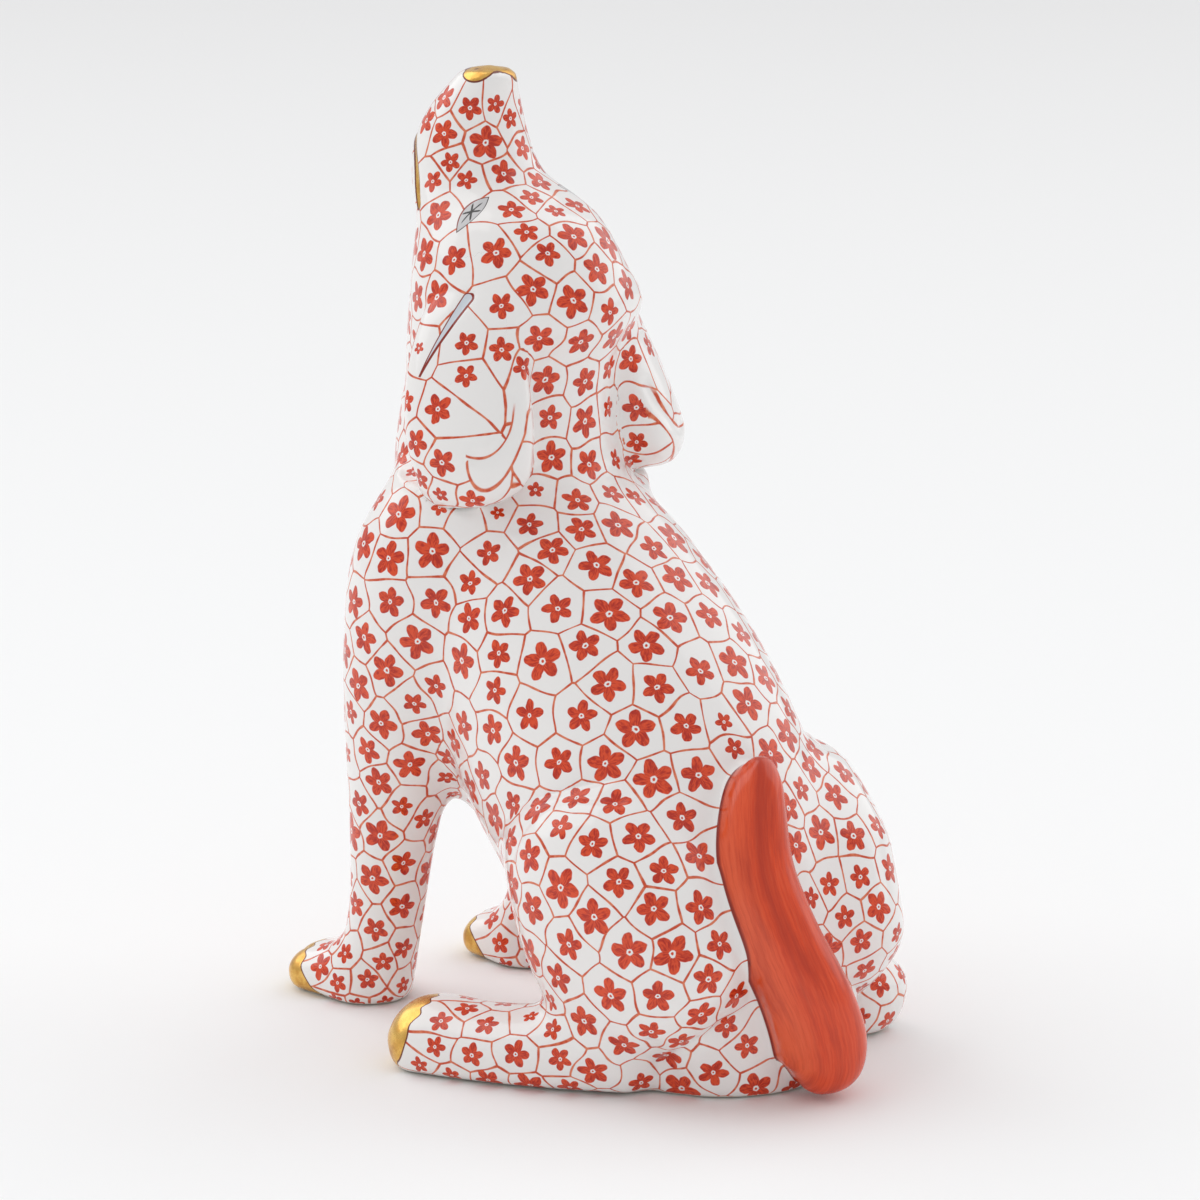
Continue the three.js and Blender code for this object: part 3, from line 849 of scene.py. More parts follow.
@dataclass
class Skin:
    """The surface of the glazed dog: its points, its four-cornered faces and its normals."""

    clay: Clay
    points: Array = field(init=False)
    quads: Array = field(init=False)
    normals: Array = field(init=False)
    hollow_faces: int = 0

    def lay(self) -> None:
        """Wrap the clay's forms in an even mesh and settle it onto the smooth surface."""
        sweeps = [sweep for group in self.clay.castings().values() for sweep in group]
        solid = solid_from_sweeps(sweeps)
        modifier = solid.modifiers.new("wrap", "REMESH")
        modifier.mode = "VOXEL"
        modifier.voxel_size = GRAIN
        modifier.adaptivity = 0.0
        graph = bpy.context.evaluated_depsgraph_get()
        wrapped = solid.evaluated_get(graph).to_mesh()
        self.points = np.empty(len(wrapped.vertices) * 3)
        wrapped.vertices.foreach_get("co", self.points)
        self.points = self.points.reshape(-1, 3)
        self.quads = np.empty(len(wrapped.loops), int)
        wrapped.loops.foreach_get("vertex_index", self.quads)
        self.quads = self.quads.reshape(-1, 4)
        bpy.data.objects.remove(solid)
        for _ in range(3):
            self.relax()
            self.settle()
        self.mend()
        self.normals = vertex_normals(self.points, self.quads)

    def relax(self) -> None:
        """Even out the mesh: each point slides along the surface towards its neighbours' mean."""
        self.points = self.points + 0.7 * drift(self.points, self.quads)[0]

    def settle(self) -> None:
        """Move each point onto the clay's surface, down the slope of the distance."""
        value = self.clay.distance(self.points)
        slope = gradient(self.clay.distance, self.points, value, 0.04)
        steep = np.maximum((slope**2).sum(1), 0.25)
        for turn in range(2):
            if turn:
                value = self.clay.distance(self.points)
            step = np.clip(value, -1.0, 1.0) / steep
            self.points = self.points - step[:, None] * slope

    def mend(self) -> None:
        """Smooth out the folds that are left in tight creases, and three rings round them.

        Each point there goes towards its neighbours' mean twelve times, and then back to the
        clay's surface in small steps.
        """
        least_agreement, most_distance = 0.8, 0.12
        normals = vertex_normals(self.points, self.quads)
        agreement = (normals * unit(neighbour_mean(normals, self.quads))).sum(1)
        area = np.abs(self.clay.distance(self.points)) > most_distance
        area |= agreement < least_agreement
        for _ in range(3):
            area[self.quads[area[self.quads].any(1)]] = True
        quads = self.quads[area[self.quads].any(1)]
        names, local = np.unique(quads, return_inverse=True)
        patch, inner = local.reshape(-1, 4), area[names]
        points = self.points[names]
        for _ in range(12):
            points[inner] += 0.8 * (neighbour_mean(points, patch) - points)[inner]
        for _ in range(3):
            shift, facing = drift(points, patch)
            height = np.clip(self.clay.distance(points[inner]), -0.3, 0.3)
            points[inner] += 0.5 * shift[inner] - 0.6 * height[:, None] * facing[inner]
        self.points[names] = points

    def castings(self) -> Array:
        """Say which casting each face belongs to: the nearest one, with strays joined up.

        A patch that has come apart from the rest of its casting goes to the casting around it.

        Returns:
            The number of a casting for each face, in the order of Casting.
        """
        gaps = self.clay.distances(self.points)
        owner = gaps[self.quads].mean(1).argmin(1)
        first, second = shared_edges(self.quads)
        for _ in range(3):
            patch = connected(len(self.quads), first, second, owner)
            size = np.bincount(patch, minlength=len(self.quads))
            largest = np.array([size[patch[owner == k]].max() for k in range(len(Casting))])
            stray = size[patch] < largest[owner]
            for a, b in ((first, second), (second, first)):
                moved = stray[a] & ~stray[b]
                owner[a[moved]] = owner[b[moved]]
                stray[a[moved]] = False
        return owner

    def true_seams(self, owner: Array) -> None:
        """Slide the points on the seams to where two castings are equally near.

        Args:
            owner: The number of each face's casting.
        """
        low = np.full(len(self.points), len(Casting))
        high = np.full(len(self.points), -1)
        for corner in range(4):
            np.minimum.at(low, self.quads[:, corner], owner)
            np.maximum.at(high, self.quads[:, corner], owner)
        seam = np.nonzero(low != high)[0]
        start, normal = self.points[seam], self.normals[seam]
        row = np.arange(len(seam))

        def lead(points: Array) -> Array:
            """Return how much nearer the one casting is than the other."""
            gaps = self.clay.distances(points)
            return gaps[row, low[seam]] - gaps[row, high[seam]]

        value = lead(start)
        slope = gradient(lead, start, value, 0.03)
        slope -= (slope * normal).sum(1)[:, None] * normal
        steep = (slope**2).sum(1)
        shift = -(value / np.maximum(steep, 0.05))[:, None] * slope
        length = np.linalg.norm(shift, axis=1, keepdims=True)
        self.points[seam] += shift * np.minimum(1.0, 0.5 * GRAIN / np.maximum(length, 1e-9))

    def pierce(self, vent: Vent, owner: Array) -> Array:
        """Cut the vent out of the base and line the hollow above it.

        The faces inside the vent's circle go, the rim that they leave is drawn onto the circle
        at even angles, and rings follow from there: radius times cosine and sine of the same
        angles, at the heights of the hollow's profile.

        Args:
            vent: The hole and its hollow.
            owner: The number of each face's casting.

        Returns:
            The same numbers, with the hollow's faces added to the torso's.
        """
        away = self.points[:, :2] - np.array([0.0, vent.lead])
        within = (np.hypot(away[:, 0], away[:, 1]) < vent.radius) & (self.points[:, 2] < 0.5)
        keep = ~within[self.quads].any(1)
        kept = self.quads[keep]
        rim = open_rim(kept)
        count = len(rim)
        even = np.arange(count) / count * 2 * np.pi
        turn = np.angle((away[rim] @ np.array([1, 1j]) * np.exp(-1j * even)).sum())
        cosine, sine = np.cos(even + turn), np.sin(even + turn)
        self.points[rim, 0] = vent.radius * cosine
        self.points[rim, 1] = vent.lead + vent.radius * sine
        self.points[rim, 2] = 0.0
        rings = [
            np.stack([radius * cosine, lead + radius * sine, np.full(count, height)], 1)
            for height, radius, lead in vent.hollow
        ]
        rows = np.arange(len(rings) * count).reshape(-1, count) + len(self.points)
        rows = np.vstack([rim, rows])
        beside = np.roll(rows, -1, axis=1)
        lining = np.stack([beside[:-1], rows[:-1], rows[1:], beside[1:]], -1).reshape(-1, 4)
        self.points = np.concatenate([self.points, *rings])
        self.quads = np.concatenate([kept, lining])
        self.hollow_faces = len(lining)
        self.normals = vertex_normals(self.points, self.quads)
        return np.concatenate([owner[keep], np.zeros(len(lining), owner.dtype)])


def open_edges(quads: Array) -> tuple[Array, Array]:
    """List the edges that only one face has, in that face's direction.

    Args:
        quads: The faces.

    Returns:
        The edges' first and last points.
    """
    start, end = edges_round(quads)
    count = int(quads.max()) + 1
    alone = ~np.isin(start.astype(np.int64) * count + end, end.astype(np.int64) * count + start)
    return start[alone], end[alone]


def open_rim(quads: Array) -> Array:
    """Follow the one open rim of a mesh from edge to edge.

    Args:
        quads: The faces.

    Returns:
        The rim's points in order.
    """
    start, end = open_edges(quads)
    follows = dict(zip(start.tolist(), end.tolist()))
    rim = [int(start[0])]
    while len(rim) < len(follows):
        rim.append(follows[rim[-1]])
    return np.array(rim)


def shared_edges(quads: Array) -> tuple[Array, Array]:
    """List the pairs of faces that share an edge.

    Args:
        quads: The faces.

    Returns:
        The first and the second face of each pair.
    """
    face = np.tile(np.arange(len(quads)), 4)
    ends = np.sort(np.stack(edges_round(quads), 1), axis=1).astype(np.int64)
    key = ends[:, 0] * (quads.max() + 1) + ends[:, 1]
    order = np.argsort(key, kind="stable")
    same = key[order][1:] == key[order][:-1]
    return face[order][:-1][same], face[order][1:][same]


def connected(count: int, first: Array, second: Array, owner: Array) -> Array:
    """Number the patches of joined items that have the same owner.

    Each item takes the lowest number among its neighbours, again and again, until all agree.

    Args:
        count: How many items there are.
        first: The first item of each pair.
        second: The second item of each pair.
        owner: The owner of each item.

    Returns:
        The patch number of each item.
    """
    same = owner[first] == owner[second]
    a, b = first[same], second[same]
    patch = np.arange(count)
    while True:
        lowest = np.minimum(patch[a], patch[b])
        before = patch.copy()
        np.minimum.at(patch, a, lowest)
        np.minimum.at(patch, b, lowest)
        for _ in range(3):
            patch = patch[patch]
        if np.array_equal(before, patch):
            return patch


@dataclass
class Painting:
    """The painter's marks, as numbers on the skin that the finishes read.

    Each face knows its nearest three cell centres. Between two of them, the signed distance
    to the line halfway is exact on a flat face, so the finishes can draw fine lines there.
    A cell is about as wide as cell says. The spread is how near two centres may be, as a share
    of that, and the margin how far they stay from what is kept clear. The turn weight is how
    many millimetres one radian's turn of the surface counts for, and the wobble bends the net.
    """

    skin: Skin
    cell: float = 5.4
    turn_weight: float = 4.0
    wobble: float = 0.3
    spread: float = 0.76
    margin: float = 1.2
    eye_half_length: float = 2.2
    eye_half_width: float = 0.9
    eye_patch: float = 5.5
    slit_reach: float = 0.4
    nostril_radius: float = 0.3
    point_marks: dict[str, Array] = field(init=False)
    corner_marks: dict[str, Array] = field(init=False)

    def paint(self) -> None:
        """Work out all the marks, and draw the cells clear of those that they must not touch."""
        points, head = self.skin.points, self.skin.clay.head
        folded = folded_over(points)
        near_gold = self.gild(points)
        near_tail = self.casting_gap(points, Casting.TAIL)
        near_tail = np.where(near_tail > 0, near_tail / 3, near_tail)
        near_nostril = np.linalg.norm(folded - head.nostril, axis=1) - self.nostril_radius
        eye_along, eye_across = self.eye_places(folded)
        rims = self.rim_places(points)
        bare = ((points[:, 2] < 0.35) & (self.skin.normals[:, 2] < -0.8)).astype(float)
        bare[np.unique(self.skin.quads[-self.skin.hollow_faces :])] = 1.0
        self.point_marks = {
            "clear": np.stack([near_gold, near_tail, near_nostril], 1),
            "slit": self.slit_places(folded),
            "rim": rims,
            "eye": np.stack([eye_along, eye_across, bare], 1),
            "brush": self.brush_places(points),
        }
        beyond_eye = np.maximum(np.abs(eye_along) - self.eye_half_length, 0.0)
        near_eye = np.hypot(beyond_eye, eye_across) - self.eye_half_width
        slit_path = catmull_rom(np.array(head.slit), 12)
        near_slit = nearest_on(slit_path, folded, 4.0)[0] - self.slit_reach
        near_rim = np.hypot(rims[:, 0], np.maximum(np.abs(rims[:, 1] + 1.0) - 2.5, 0.0)) - 2.6
        near_rim = np.where(rims[:, 2] > 0, near_rim, FAR)
        self.draw_cells(np.minimum.reduce([near_gold, near_slit, near_tail, near_eye, near_rim]))

    def gild(self, points: Array) -> Array:
        """Say how far points lie from the gold on the nose, the lips and the toes.

        On a foot the gold ends at a slanted plane, scalloped by a cosine from toe to toe. On
        the nose it is two balls and the level above them, and on the lips a band round the
        mouth's line.

        Args:
            points: The skin's points.

        Returns:
            The distances, below zero on the gold.
        """
        x, y, z = np.abs(points[:, 0]), points[:, 1], points[:, 2]
        left = points[:, 0] > 0
        head = self.skin.clay.head
        drop = np.where(left[:, None], *head.lobe_drops)
        ball = np.stack([x, y, z], 1) - np.array(head.nose_lobe) - drop
        nose = np.linalg.norm(ball, axis=1) - np.where(left, *head.lobe_radii)
        nose = np.minimum(nose, head.gold_level - z)
        mouth = catmull_rom(np.array(head.mouth), 40)
        lips = nearest_on(mouth, points, 4.0)[0] - head.lip_gold
        scallop = 0.28 * np.cos(points[:, 0] / 1.8 * 2 * np.pi)
        fore = (y + 0.9 * z + np.where(left, 45.1, 42.2)) / 1.35 + scallop
        fore = np.where((y < -39) & (z < 9), fore, FAR)
        across = 0.93 * x + 0.37 * y
        hind = 29.2 - 0.33 * z - 0.37 * x + 0.93 * y + 0.25 * np.cos(across / 1.9 * 2 * np.pi)
        hind = np.where((y < -10) & (y > -30) & (x > 18) & (z < 10), hind, FAR)
        return np.minimum.reduce([nose, lips, fore, hind])

    def slit_places(self, folded: Array) -> Array:
        """Give each point's place by the pale slit at the nearer ear.

        Args:
            folded: The skin's points, with the right side laid over the left.

        Returns:
            How far each point lies from the slit's middle line, how far down it, and a zero.
        """
        top, middle, low = np.array(self.skin.clay.head.slit)
        along = unit(low - top)
        across = unit(np.cross(along, np.array(self.skin.clay.head.slit_facing)))
        length = (low - top) @ along
        away = folded - top
        share = (away @ along) / length
        bow = ((middle - top) @ across) * 4 * share * (1 - share)
        near = np.linalg.norm(away - 0.5 * (low - top), axis=1) < 6.5
        place = (np.where(near, away @ across - bow, FAR), np.where(near, share * length, 0.0))
        return np.stack([*place, np.zeros(len(away))], 1)

    def rim_places(self, points: Array) -> Array:
        """Give each point's place on the ears' folded ends, flat as it is seen facing the ear.

        Args:
            points: The skin's points.

        Returns:
            How far each point lies to the rear of the fold's middle, how far above it, and 1 on
            the outer face of an ear or -1 elsewhere.
        """
        head = self.skin.clay.head
        found = np.tile([FAR, FAR, -1.0], (len(points), 1))
        sides = (
            (Casting.LEFT_EAR, 1.0, head.left_rim),
            (Casting.RIGHT_EAR, -1.0, head.right_rim),
        )
        for casting, side, middle in sides:
            across = np.array(head.ear_across) * (side, 1.0, 1.0)
            facing = np.array([across[1], -across[0], 0.0]) * side
            away = points - np.array(middle)
            outer = (self.casting_gap(points, casting) < -0.4) & (np.abs(away).max(1) < 9.0)
            outer &= self.skin.normals @ facing > -0.1
            place = np.stack([away @ across, away[:, 2], np.ones(len(points))], 1)
            found[outer] = place[outer]
        return found

    def casting_gap(self, points: Array, casting: Casting) -> Array:
        """Say how much nearer points are to one casting than to the rest, below zero on it."""
        gaps = self.skin.clay.distances(points)
        return gaps[:, casting.number] - np.delete(gaps, casting.number, axis=1).min(1)

    def eye_places(self, folded: Array) -> tuple[Array, Array]:
        """Give each point's place in the nearer eye.

        Args:
            folded: The skin's points, with the right side laid over the left.

        Returns:
            How far each point lies from the eye's middle, along it and across it.
        """
        head = self.skin.clay.head
        ends = np.array(head.eye_ends)
        along = unit(ends[1] - ends[0])
        across = unit(np.cross(np.array(head.eye_facing), along))
        away = folded - ends.mean(0)
        near = np.linalg.norm(away, axis=1) < self.eye_patch
        return np.where(near, away @ along, FAR), np.where(near, away @ across, FAR)

    def brush_places(self, points: Array) -> Array:
        """Give each point's place on the tail.

        Args:
            points: The skin's points.

        Returns:
            How far each point lies along the tail's spine and across it, and a zero.
        """
        tail = self.skin.clay.hindquarters.tail
        path = tail.spine["centre"][::COARSE]
        share = nearest_on(path, points, 9.0)[1]
        at = share * (len(path) - 1)
        middle = np.stack([np.interp(at, np.arange(len(path)), path[:, k]) for k in range(3)], 1)
        across = (points - middle) @ unit(np.array(tail.side))
        return np.stack([share * tail.spine["place"][-1], across, np.zeros(len(points))], 1)

    def places(self) -> Array:
        """Put the points where the cells are measured: bent a little, with the normals beside.

        The bend is a sum of sines of the other two coordinates. The normals, times a weight,
        keep the front and the back of a thin ear apart. They are evened out first, by the
        mean of their neighbours twelve times over, so that no crease gathers the cells.

        Returns:
            Six numbers for each point.
        """
        p = self.skin.points
        bend = np.zeros_like(p)
        for wave, phase in ((4.3, 0.0), (6.1, 2.0), (7.9, 4.0)):
            for axis in range(3):
                other = p[:, (axis + 1) % 3] + 0.7 * p[:, (axis + 2) % 3]
                bend[:, axis] += np.sin(other * 2 * np.pi / wave + phase + axis)
        bent = p + self.wobble * bend / np.sqrt(3)
        facing = self.skin.normals
        for _ in range(12):
            facing = neighbour_mean(facing, self.skin.quads)
        return np.hstack([bent, self.turn_weight * unit(facing)]).astype(np.float32)

    def cell_sizes(self) -> Array:
        """Say how wide the cells are: smaller towards the nose and on the feet.

        Returns:
            One width for each point.
        """
        _, y, z = self.skin.points.T
        muzzle = np.clip((z - 84.0) / 12, 0, 1)
        foot = np.clip((9.0 - z) / 4, 0, 1) * np.clip((-8.0 - y) / 6, 0, 1)
        return self.cell * (1 - 0.16 * np.maximum(muzzle, foot))

    def sow(self, places: Array, outside: Array) -> Array:
        """Choose the cell centres, each as far as can be from those before it.

        Then each centre moves to the middle of its cell, five times over.

        Args:
            places: The six numbers of each point.
            outside: The points that may hold a centre.

        Returns:
            The numbers of the chosen points.
        """
        field_points = places[outside]
        size = self.cell_sizes()[outside].astype(np.float32)
        chosen = [0]
        nearest = np.full(len(outside), np.inf, np.float32)
        while True:
            step = field_points - field_points[chosen[-1]]
            nearest = np.minimum(nearest, np.einsum("ij,ij->i", step, step))
            score = nearest / size**2
            best = int(score.argmax())
            if score[best] < self.spread**2:
                break
            chosen.append(best)
        centres = np.array(chosen)
        for _ in range(5):
            member = closest(field_points, field_points[centres], 1)[:, 0]
            count = np.maximum(np.bincount(member, minlength=len(centres)), 1)
            sums = [np.bincount(member, field_points[:, k], len(centres)) for k in range(6)]
            middle = (np.stack(sums, 1) / count[:, None]).astype(np.float32)
            away = ((field_points - middle[member]) ** 2).sum(1)
            order = np.lexsort((away, member))
            first = np.unique(member[order], return_index=True)[1]
            centres = order[first]
        return outside[centres]

    def draw_cells(self, clear: Array) -> None:
        """Mark each face's corners with the lines of the cells and with its cell's blossom.

        The signed distance between centres A and B is (DB - DA) |AB| / (2 D6), with DA and DB
        the squared distances in the six numbers, |AB| the length in space and D6 its square
        in the six numbers.

        Args:
            clear: How far each point lies from what the blossoms keep clear of.
        """
        places = self.places()
        quads = self.skin.quads
        outer = quads[: len(quads) - self.skin.hollow_faces]
        outside = np.unique(outer[:, 0])[::2]
        outside = outside[clear[outside] > self.margin]
        seeds = self.sow(places, outside)
        LOG.info("cells: %d", len(seeds))
        corner = places[quads]
        three = closest(corner.mean(1), places[seeds], 3)
        square = [((corner - places[seeds[three[:, k]]][:, None]) ** 2).sum(2) for k in range(3)]
        lines = []
        for a, b in ((0, 1), (0, 2), (1, 2)):
            step = places[seeds[three[:, b]]] - places[seeds[three[:, a]]]
            length = np.linalg.norm(step[:, :3], axis=1)
            scale = length / np.maximum(2 * (step**2).sum(1), 1e-6)
            lines.append((square[b] - square[a]) * scale[:, None])
        blossoms = self.blossoms(seeds, three[:, 0], clear)
        self.corner_marks = {"cell": np.stack(lines, 2), "blossom": blossoms}

    def blossoms(self, seeds: Array, cell: Array, clear: Array) -> Array:
        """Give each corner's place in its cell's blossom, and the blossom's lot.

        A blossom is scaled to the room around it: half the way to the next centre, or less
        beside the gold, the tail, an eye or a slit.

        Args:
            seeds: The cell centres.
            cell: The cell of each face.
            clear: How far each point lies from what the blossoms keep clear of.

        Returns:
            The place along two directions on the surface, and a number from 0 to 1 that
            varies the blossoms, or -1 where the cell has none.
        """
        chance = np.random.default_rng(BLOSSOM_SEED)
        centre, normal = self.skin.points[seeds], self.skin.normals[seeds]
        first = unit(np.cross(normal, chance.normal(size=(len(seeds), 3))))
        second = np.cross(normal, first)
        lot = chance.random(len(seeds))
        apart = np.linalg.norm(centre[:, None] - centre[closest(centre, centre, 2)[:, 1:]], axis=2)
        room = np.minimum(apart[:, 0] / 2, clear[seeds]) - 0.25
        scale = np.clip(room / (1.8 * np.sqrt(self.cell_sizes()[seeds] / self.cell)), 0.3, 1.15)
        lot[room < 0.7] = -1.0
        offset = self.skin.points[self.skin.quads] - centre[cell][:, None]
        offset /= scale[cell][:, None, None]
        along = (offset * first[cell][:, None]).sum(2)
        across = (offset * second[cell][:, None]).sum(2)
        return np.stack([along, across, np.repeat(lot[cell][:, None], 4, axis=1)], 2)


def closest(places: Array, centres: Array, count: int) -> Array:
    """Find the nearest centres of each place, nearest first.

    Args:
        places: The places, as rows of six numbers.
        centres: The centres, as rows of six numbers.
        count: How many to find.

    Returns:
        The centres' numbers, one row for each place.
    """
    square = (centres**2).sum(1)
    found = []
    batch = 16000
    for start in range(0, len(places), batch):
        gap = square - 2 * places[start : start + batch] @ centres.T
        if count == 1:
            found.append(gap.argmin(1)[:, None])
            continue
        few = np.argpartition(gap, count, axis=1)[:, :count]
        order = np.take_along_axis(gap, few, 1).argsort(1)
        found.append(np.take_along_axis(few, order, 1))
    return np.concatenate(found)


def linear(colour: str) -> tuple[float, float, float, float]:
    """Turn an sRGB hex colour into linear red, green, blue and alpha.

    Args:
        colour: The colour, such as "#C04020".

    Returns:
        The four linear values.
    """
    parts = [int(colour[k : k + 2], 16) / 255 for k in (1, 3, 5)]
    curve = [p / 12.92 if p <= 0.04045 else ((p + 0.055) / 1.055) ** 2.4 for p in parts]
    return (curve[0], curve[1], curve[2], 1.0)


class Recipe:
    """A finish being put together: a material, its nodes and the shader that they lead to."""

    def __init__(self, name: str) -> None:
        """Start a material that has only its Principled shader.

        Args:
            name: The material's name.
        """
        self.material = bpy.data.materials.new(name)
        self.material.use_nodes = True
        self.shader = self.material.node_tree.nodes["Principled BSDF"]

    def add(self, kind: str, *inputs: Given, **settings: object) -> bpy.types.Node:
        """Add a node, with its settings first and then its inputs in their order.

        Args:
            kind: The node's type without "ShaderNode", and after a dot its operation or, if it
                is a mix, its type of data.
            inputs: What each input is given.
            settings: The node's other settings, by name.

        Returns:
            The new node.
        """
        kind, _, choice = kind.partition(".")
        node = self.material.node_tree.nodes.new("ShaderNode" + kind)
        if choice:
            settings["data_type" if kind == "Mix" else "operation"] = choice
        for name, value in settings.items():
            setattr(node, name, value)
        for socket, given in zip([each for each in node.inputs if each.enabled], inputs):
            self.give(socket, given)
        return node

    def give(self, socket: bpy.types.NodeSocket, given: Given) -> None:
        """Link an input, or set its value.

        Args:
            socket: The input.
            given: A socket to link, a node whose first output is linked, a hex colour, a value,
                or None to leave the input be.
        """
        if isinstance(given, str):
            given = linear(given)
        if isinstance(given, bpy.types.Node):
            given = next(output for output in given.outputs if output.enabled)
        if isinstance(given, bpy.types.NodeSocket):
            self.material.node_tree.links.new(socket, given)
        elif given is not None:
            socket.default_value = given

    def mark(self, name: str) -> list[bpy.types.NodeSocket]:
        """Return the three numbers of one of the painter's marks."""
        vector = self.add("Attribute", attribute_name=name).outputs["Vector"]
        return list(self.add("SeparateXYZ", vector).outputs)

    def layered(self, kind: str, base: Given, coats: Coats) -> Given:
        """Lay coats over a base.

        Args:
            kind: What add is told for each coat.
            base: What lies under them.
            coats: The mask and the coat of each, from the bottom up.

        Returns:
            The last coat's node.
        """
        for mask, coat in coats:
            base = self.add(kind, mask, base, coat)
        return base

    def finished(self, **inputs: Given) -> bpy.types.Material:
        """Give the shader its inputs.

        Args:
            inputs: What each input is given, by its name with _ for a space.

        Returns:
            The finished material.
        """
        for name, given in inputs.items():
            self.give(self.shader.inputs[name.replace("_", " ")], given)
        return self.material


@dataclass(frozen=True)
class PaintedPorcelain:
    """Cast porcelain under a clear glaze, painted over it in iron red and burnished gold.

    The glaze gives a cool white with small sharp reflections. The enamel was laid with a thin
    brush and fired again, so it is a little duller and shows its strokes, and the gold was
    rubbed with agate, so it shines softly.
    """

    body: str = "#F3F1EF"
    hollow: str = "#D9D2C6"
    line: str = "#CC4A26"
    thin_line: str = "#E07C58"
    petal: str = "#E14C22"
    stroke: str = "#B4240D"
    dark: str = "#8A2414"
    white_of_eye: str = "#CBCACB"
    black: str = "#23211F"
    slit: str = "#D5DCE4"
    gold: str = "#E9BC66"
    gold_shade: str = "#BE8438"
    outline: str = "#6E2A14"
    glaze_roughness: float = 0.1
    enamel_roughness: float = 0.17
    bare_roughness: float = 0.62
    glaze_ior: float = 1.5
    petals: int = 5
    petal_length: float = 0.78
    petal_width: float = 0.56

    def material(self) -> bpy.types.Material:
        """Put the finish together.

        Returns:
            The material.
        """
        recipe = Recipe("glazed_painted_porcelain")
        add = recipe.add
        place = add("VectorMath.SCALE", add("TexCoord").outputs["Object"], 1000.0)
        near_gold, near_tail, near_nostril = recipe.mark("clear")
        line, line_colour = self.network(recipe, place)
        flower, flower_colour = self.blossom(recipe, place)
        eye_coats, bare = self.eye(recipe)
        slit_rim, slit, ear_line, ear_rim = self.slit_and_ears(recipe, place)
        gold = add("MapRange", near_gold, 0.02, -0.02)
        rubbed = add("TexNoise", place, 0.55, 3.0, 0.6)
        worn = add("MapRange", rubbed, 0.45, 0.75)
        coats = (
            (line, line_colour),
            (flower, flower_colour),
            (ear_rim, self.body),
            (ear_line, line_colour),
            (slit_rim, self.dark),
            (slit, self.slit),
            *eye_coats,
            (add("MapRange", near_tail, 0.28, 0.2), self.dark),
            (add("MapRange", near_gold, 0.2, 0.14), self.outline),
            (gold, add("Mix.RGBA", worn, self.gold, self.gold_shade)),
            (add("MapRange", near_nostril, 0.08, -0.06), self.outline),
            (bare, self.hollow),
        )
        bald = add("Math.SUBTRACT", 1.0, ear_rim)
        enamel = add("Math.MULTIPLY", add("Math.MAXIMUM", line, flower), bald)
        burnish = add("MapRange", rubbed, 0.3, 0.7, 0.2, 0.34)
        dull = ((enamel, self.enamel_roughness), (gold, burnish), (bare, self.bare_roughness))
        bump = add("Bump", 0.35, 0.06 * MM)
        wave = add("TexNoise", place, 0.16, 1.0)
        recipe.give(bump.inputs["Height"], add("Math.MULTIPLY_ADD", enamel, 0.05, wave))
        return recipe.finished(
            Base_Color=recipe.layered("Mix.RGBA", self.body, coats),
            Roughness=recipe.layered("Mix.FLOAT", self.glaze_roughness, dull),
            Metallic=gold,
            Normal=bump,
            IOR=self.glaze_ior,
        )

    def slit_and_ears(self, recipe: Recipe, place: Given) -> tuple[Given, Given, Given, Given]:
        """Draw the pale slit by each ear, and the two lines round the ear's rolled edge.

        The slit is a tapering stroke: its half width is 0.48 - 0.055 times the way down it, and
        its upper end is round. Its outline is heavier on the side of the ear's root. The ear's
        lines are the lower halves of two ellipses that run on straight upwards.

        Args:
            recipe: The material.
            place: The place in millimetres.

        Returns:
            The masks of the slit's outline, the slit, the ears' lines and the band between them.
        """
        add = recipe.add
        across, along, _ = recipe.mark("slit")
        above = add("Math.MINIMUM", add("Math.ADD", along, -0.45), 0.0)
        reach = add("VectorMath.LENGTH", add("CombineXYZ", across, above))
        gap = add("Math.MULTIPLY_ADD", along, 0.055, reach)
        outer = add("Math.SUBTRACT", gap, add("MapRange", across, -0.2, 0.2, 0.78, 0.62))
        back, up, on_ear = recipe.mark("rim")
        low = add("Math.MINIMUM", up, 0.0)
        leaning = add("Math.MULTIPLY_ADD", low, -0.2, back)
        outer_line = add("CombineXYZ", leaning, add("Math.MULTIPLY", low, 0.45))
        outer_line = add("Math.ADD", add("VectorMath.LENGTH", outer_line), -2.78)
        fall = add("Math.MINIMUM", add("Math.ADD", up, -1.6), 0.0)
        fall = add("Math.MULTIPLY", fall, 0.8)
        inner_line = add("CombineXYZ", add("Math.ADD", back, 1.93), fall)
        inner_line = add("Math.ADD", add("VectorMath.LENGTH", inner_line), -3.35)
        begun = add("Math.SUBTRACT", add("Math.MULTIPLY", back, 0.9), up)
        begun = add("MapRange", begun, 0.2, -0.8)
        outer_gap = add("Math.ADD", add("Math.ABSOLUTE", outer_line), begun)
        inner_gap = add("Math.MAXIMUM", add("Math.ABSOLUTE", inner_line), outer_line)
        nearer = add("Math.MINIMUM", outer_gap, inner_gap)
        thin = add("MapRange", add("TexNoise", place, 0.45, 2.0), 0.3, 0.7, 0.08, 0.14)
        line = add("MapRange", add("Math.SUBTRACT", nearer, thin), 0.035, -0.035)
        fade = add("MapRange", up, 3.2, 2.0)
        fade = add("Math.MULTIPLY", fade, add("MapRange", on_ear, 0.3, 0.6))
        band = add("Math.MULTIPLY", add("MapRange", inner_line, -0.05, 0.05), fade)
        within = add("MapRange", outer_line, 0.05, -0.05)
        return (
            add("MapRange", outer, 0.02, -0.03),
            add("MapRange", gap, 0.51, 0.46),
            add("Math.MULTIPLY", line, fade),
            add("Math.MULTIPLY", band, within),
        )

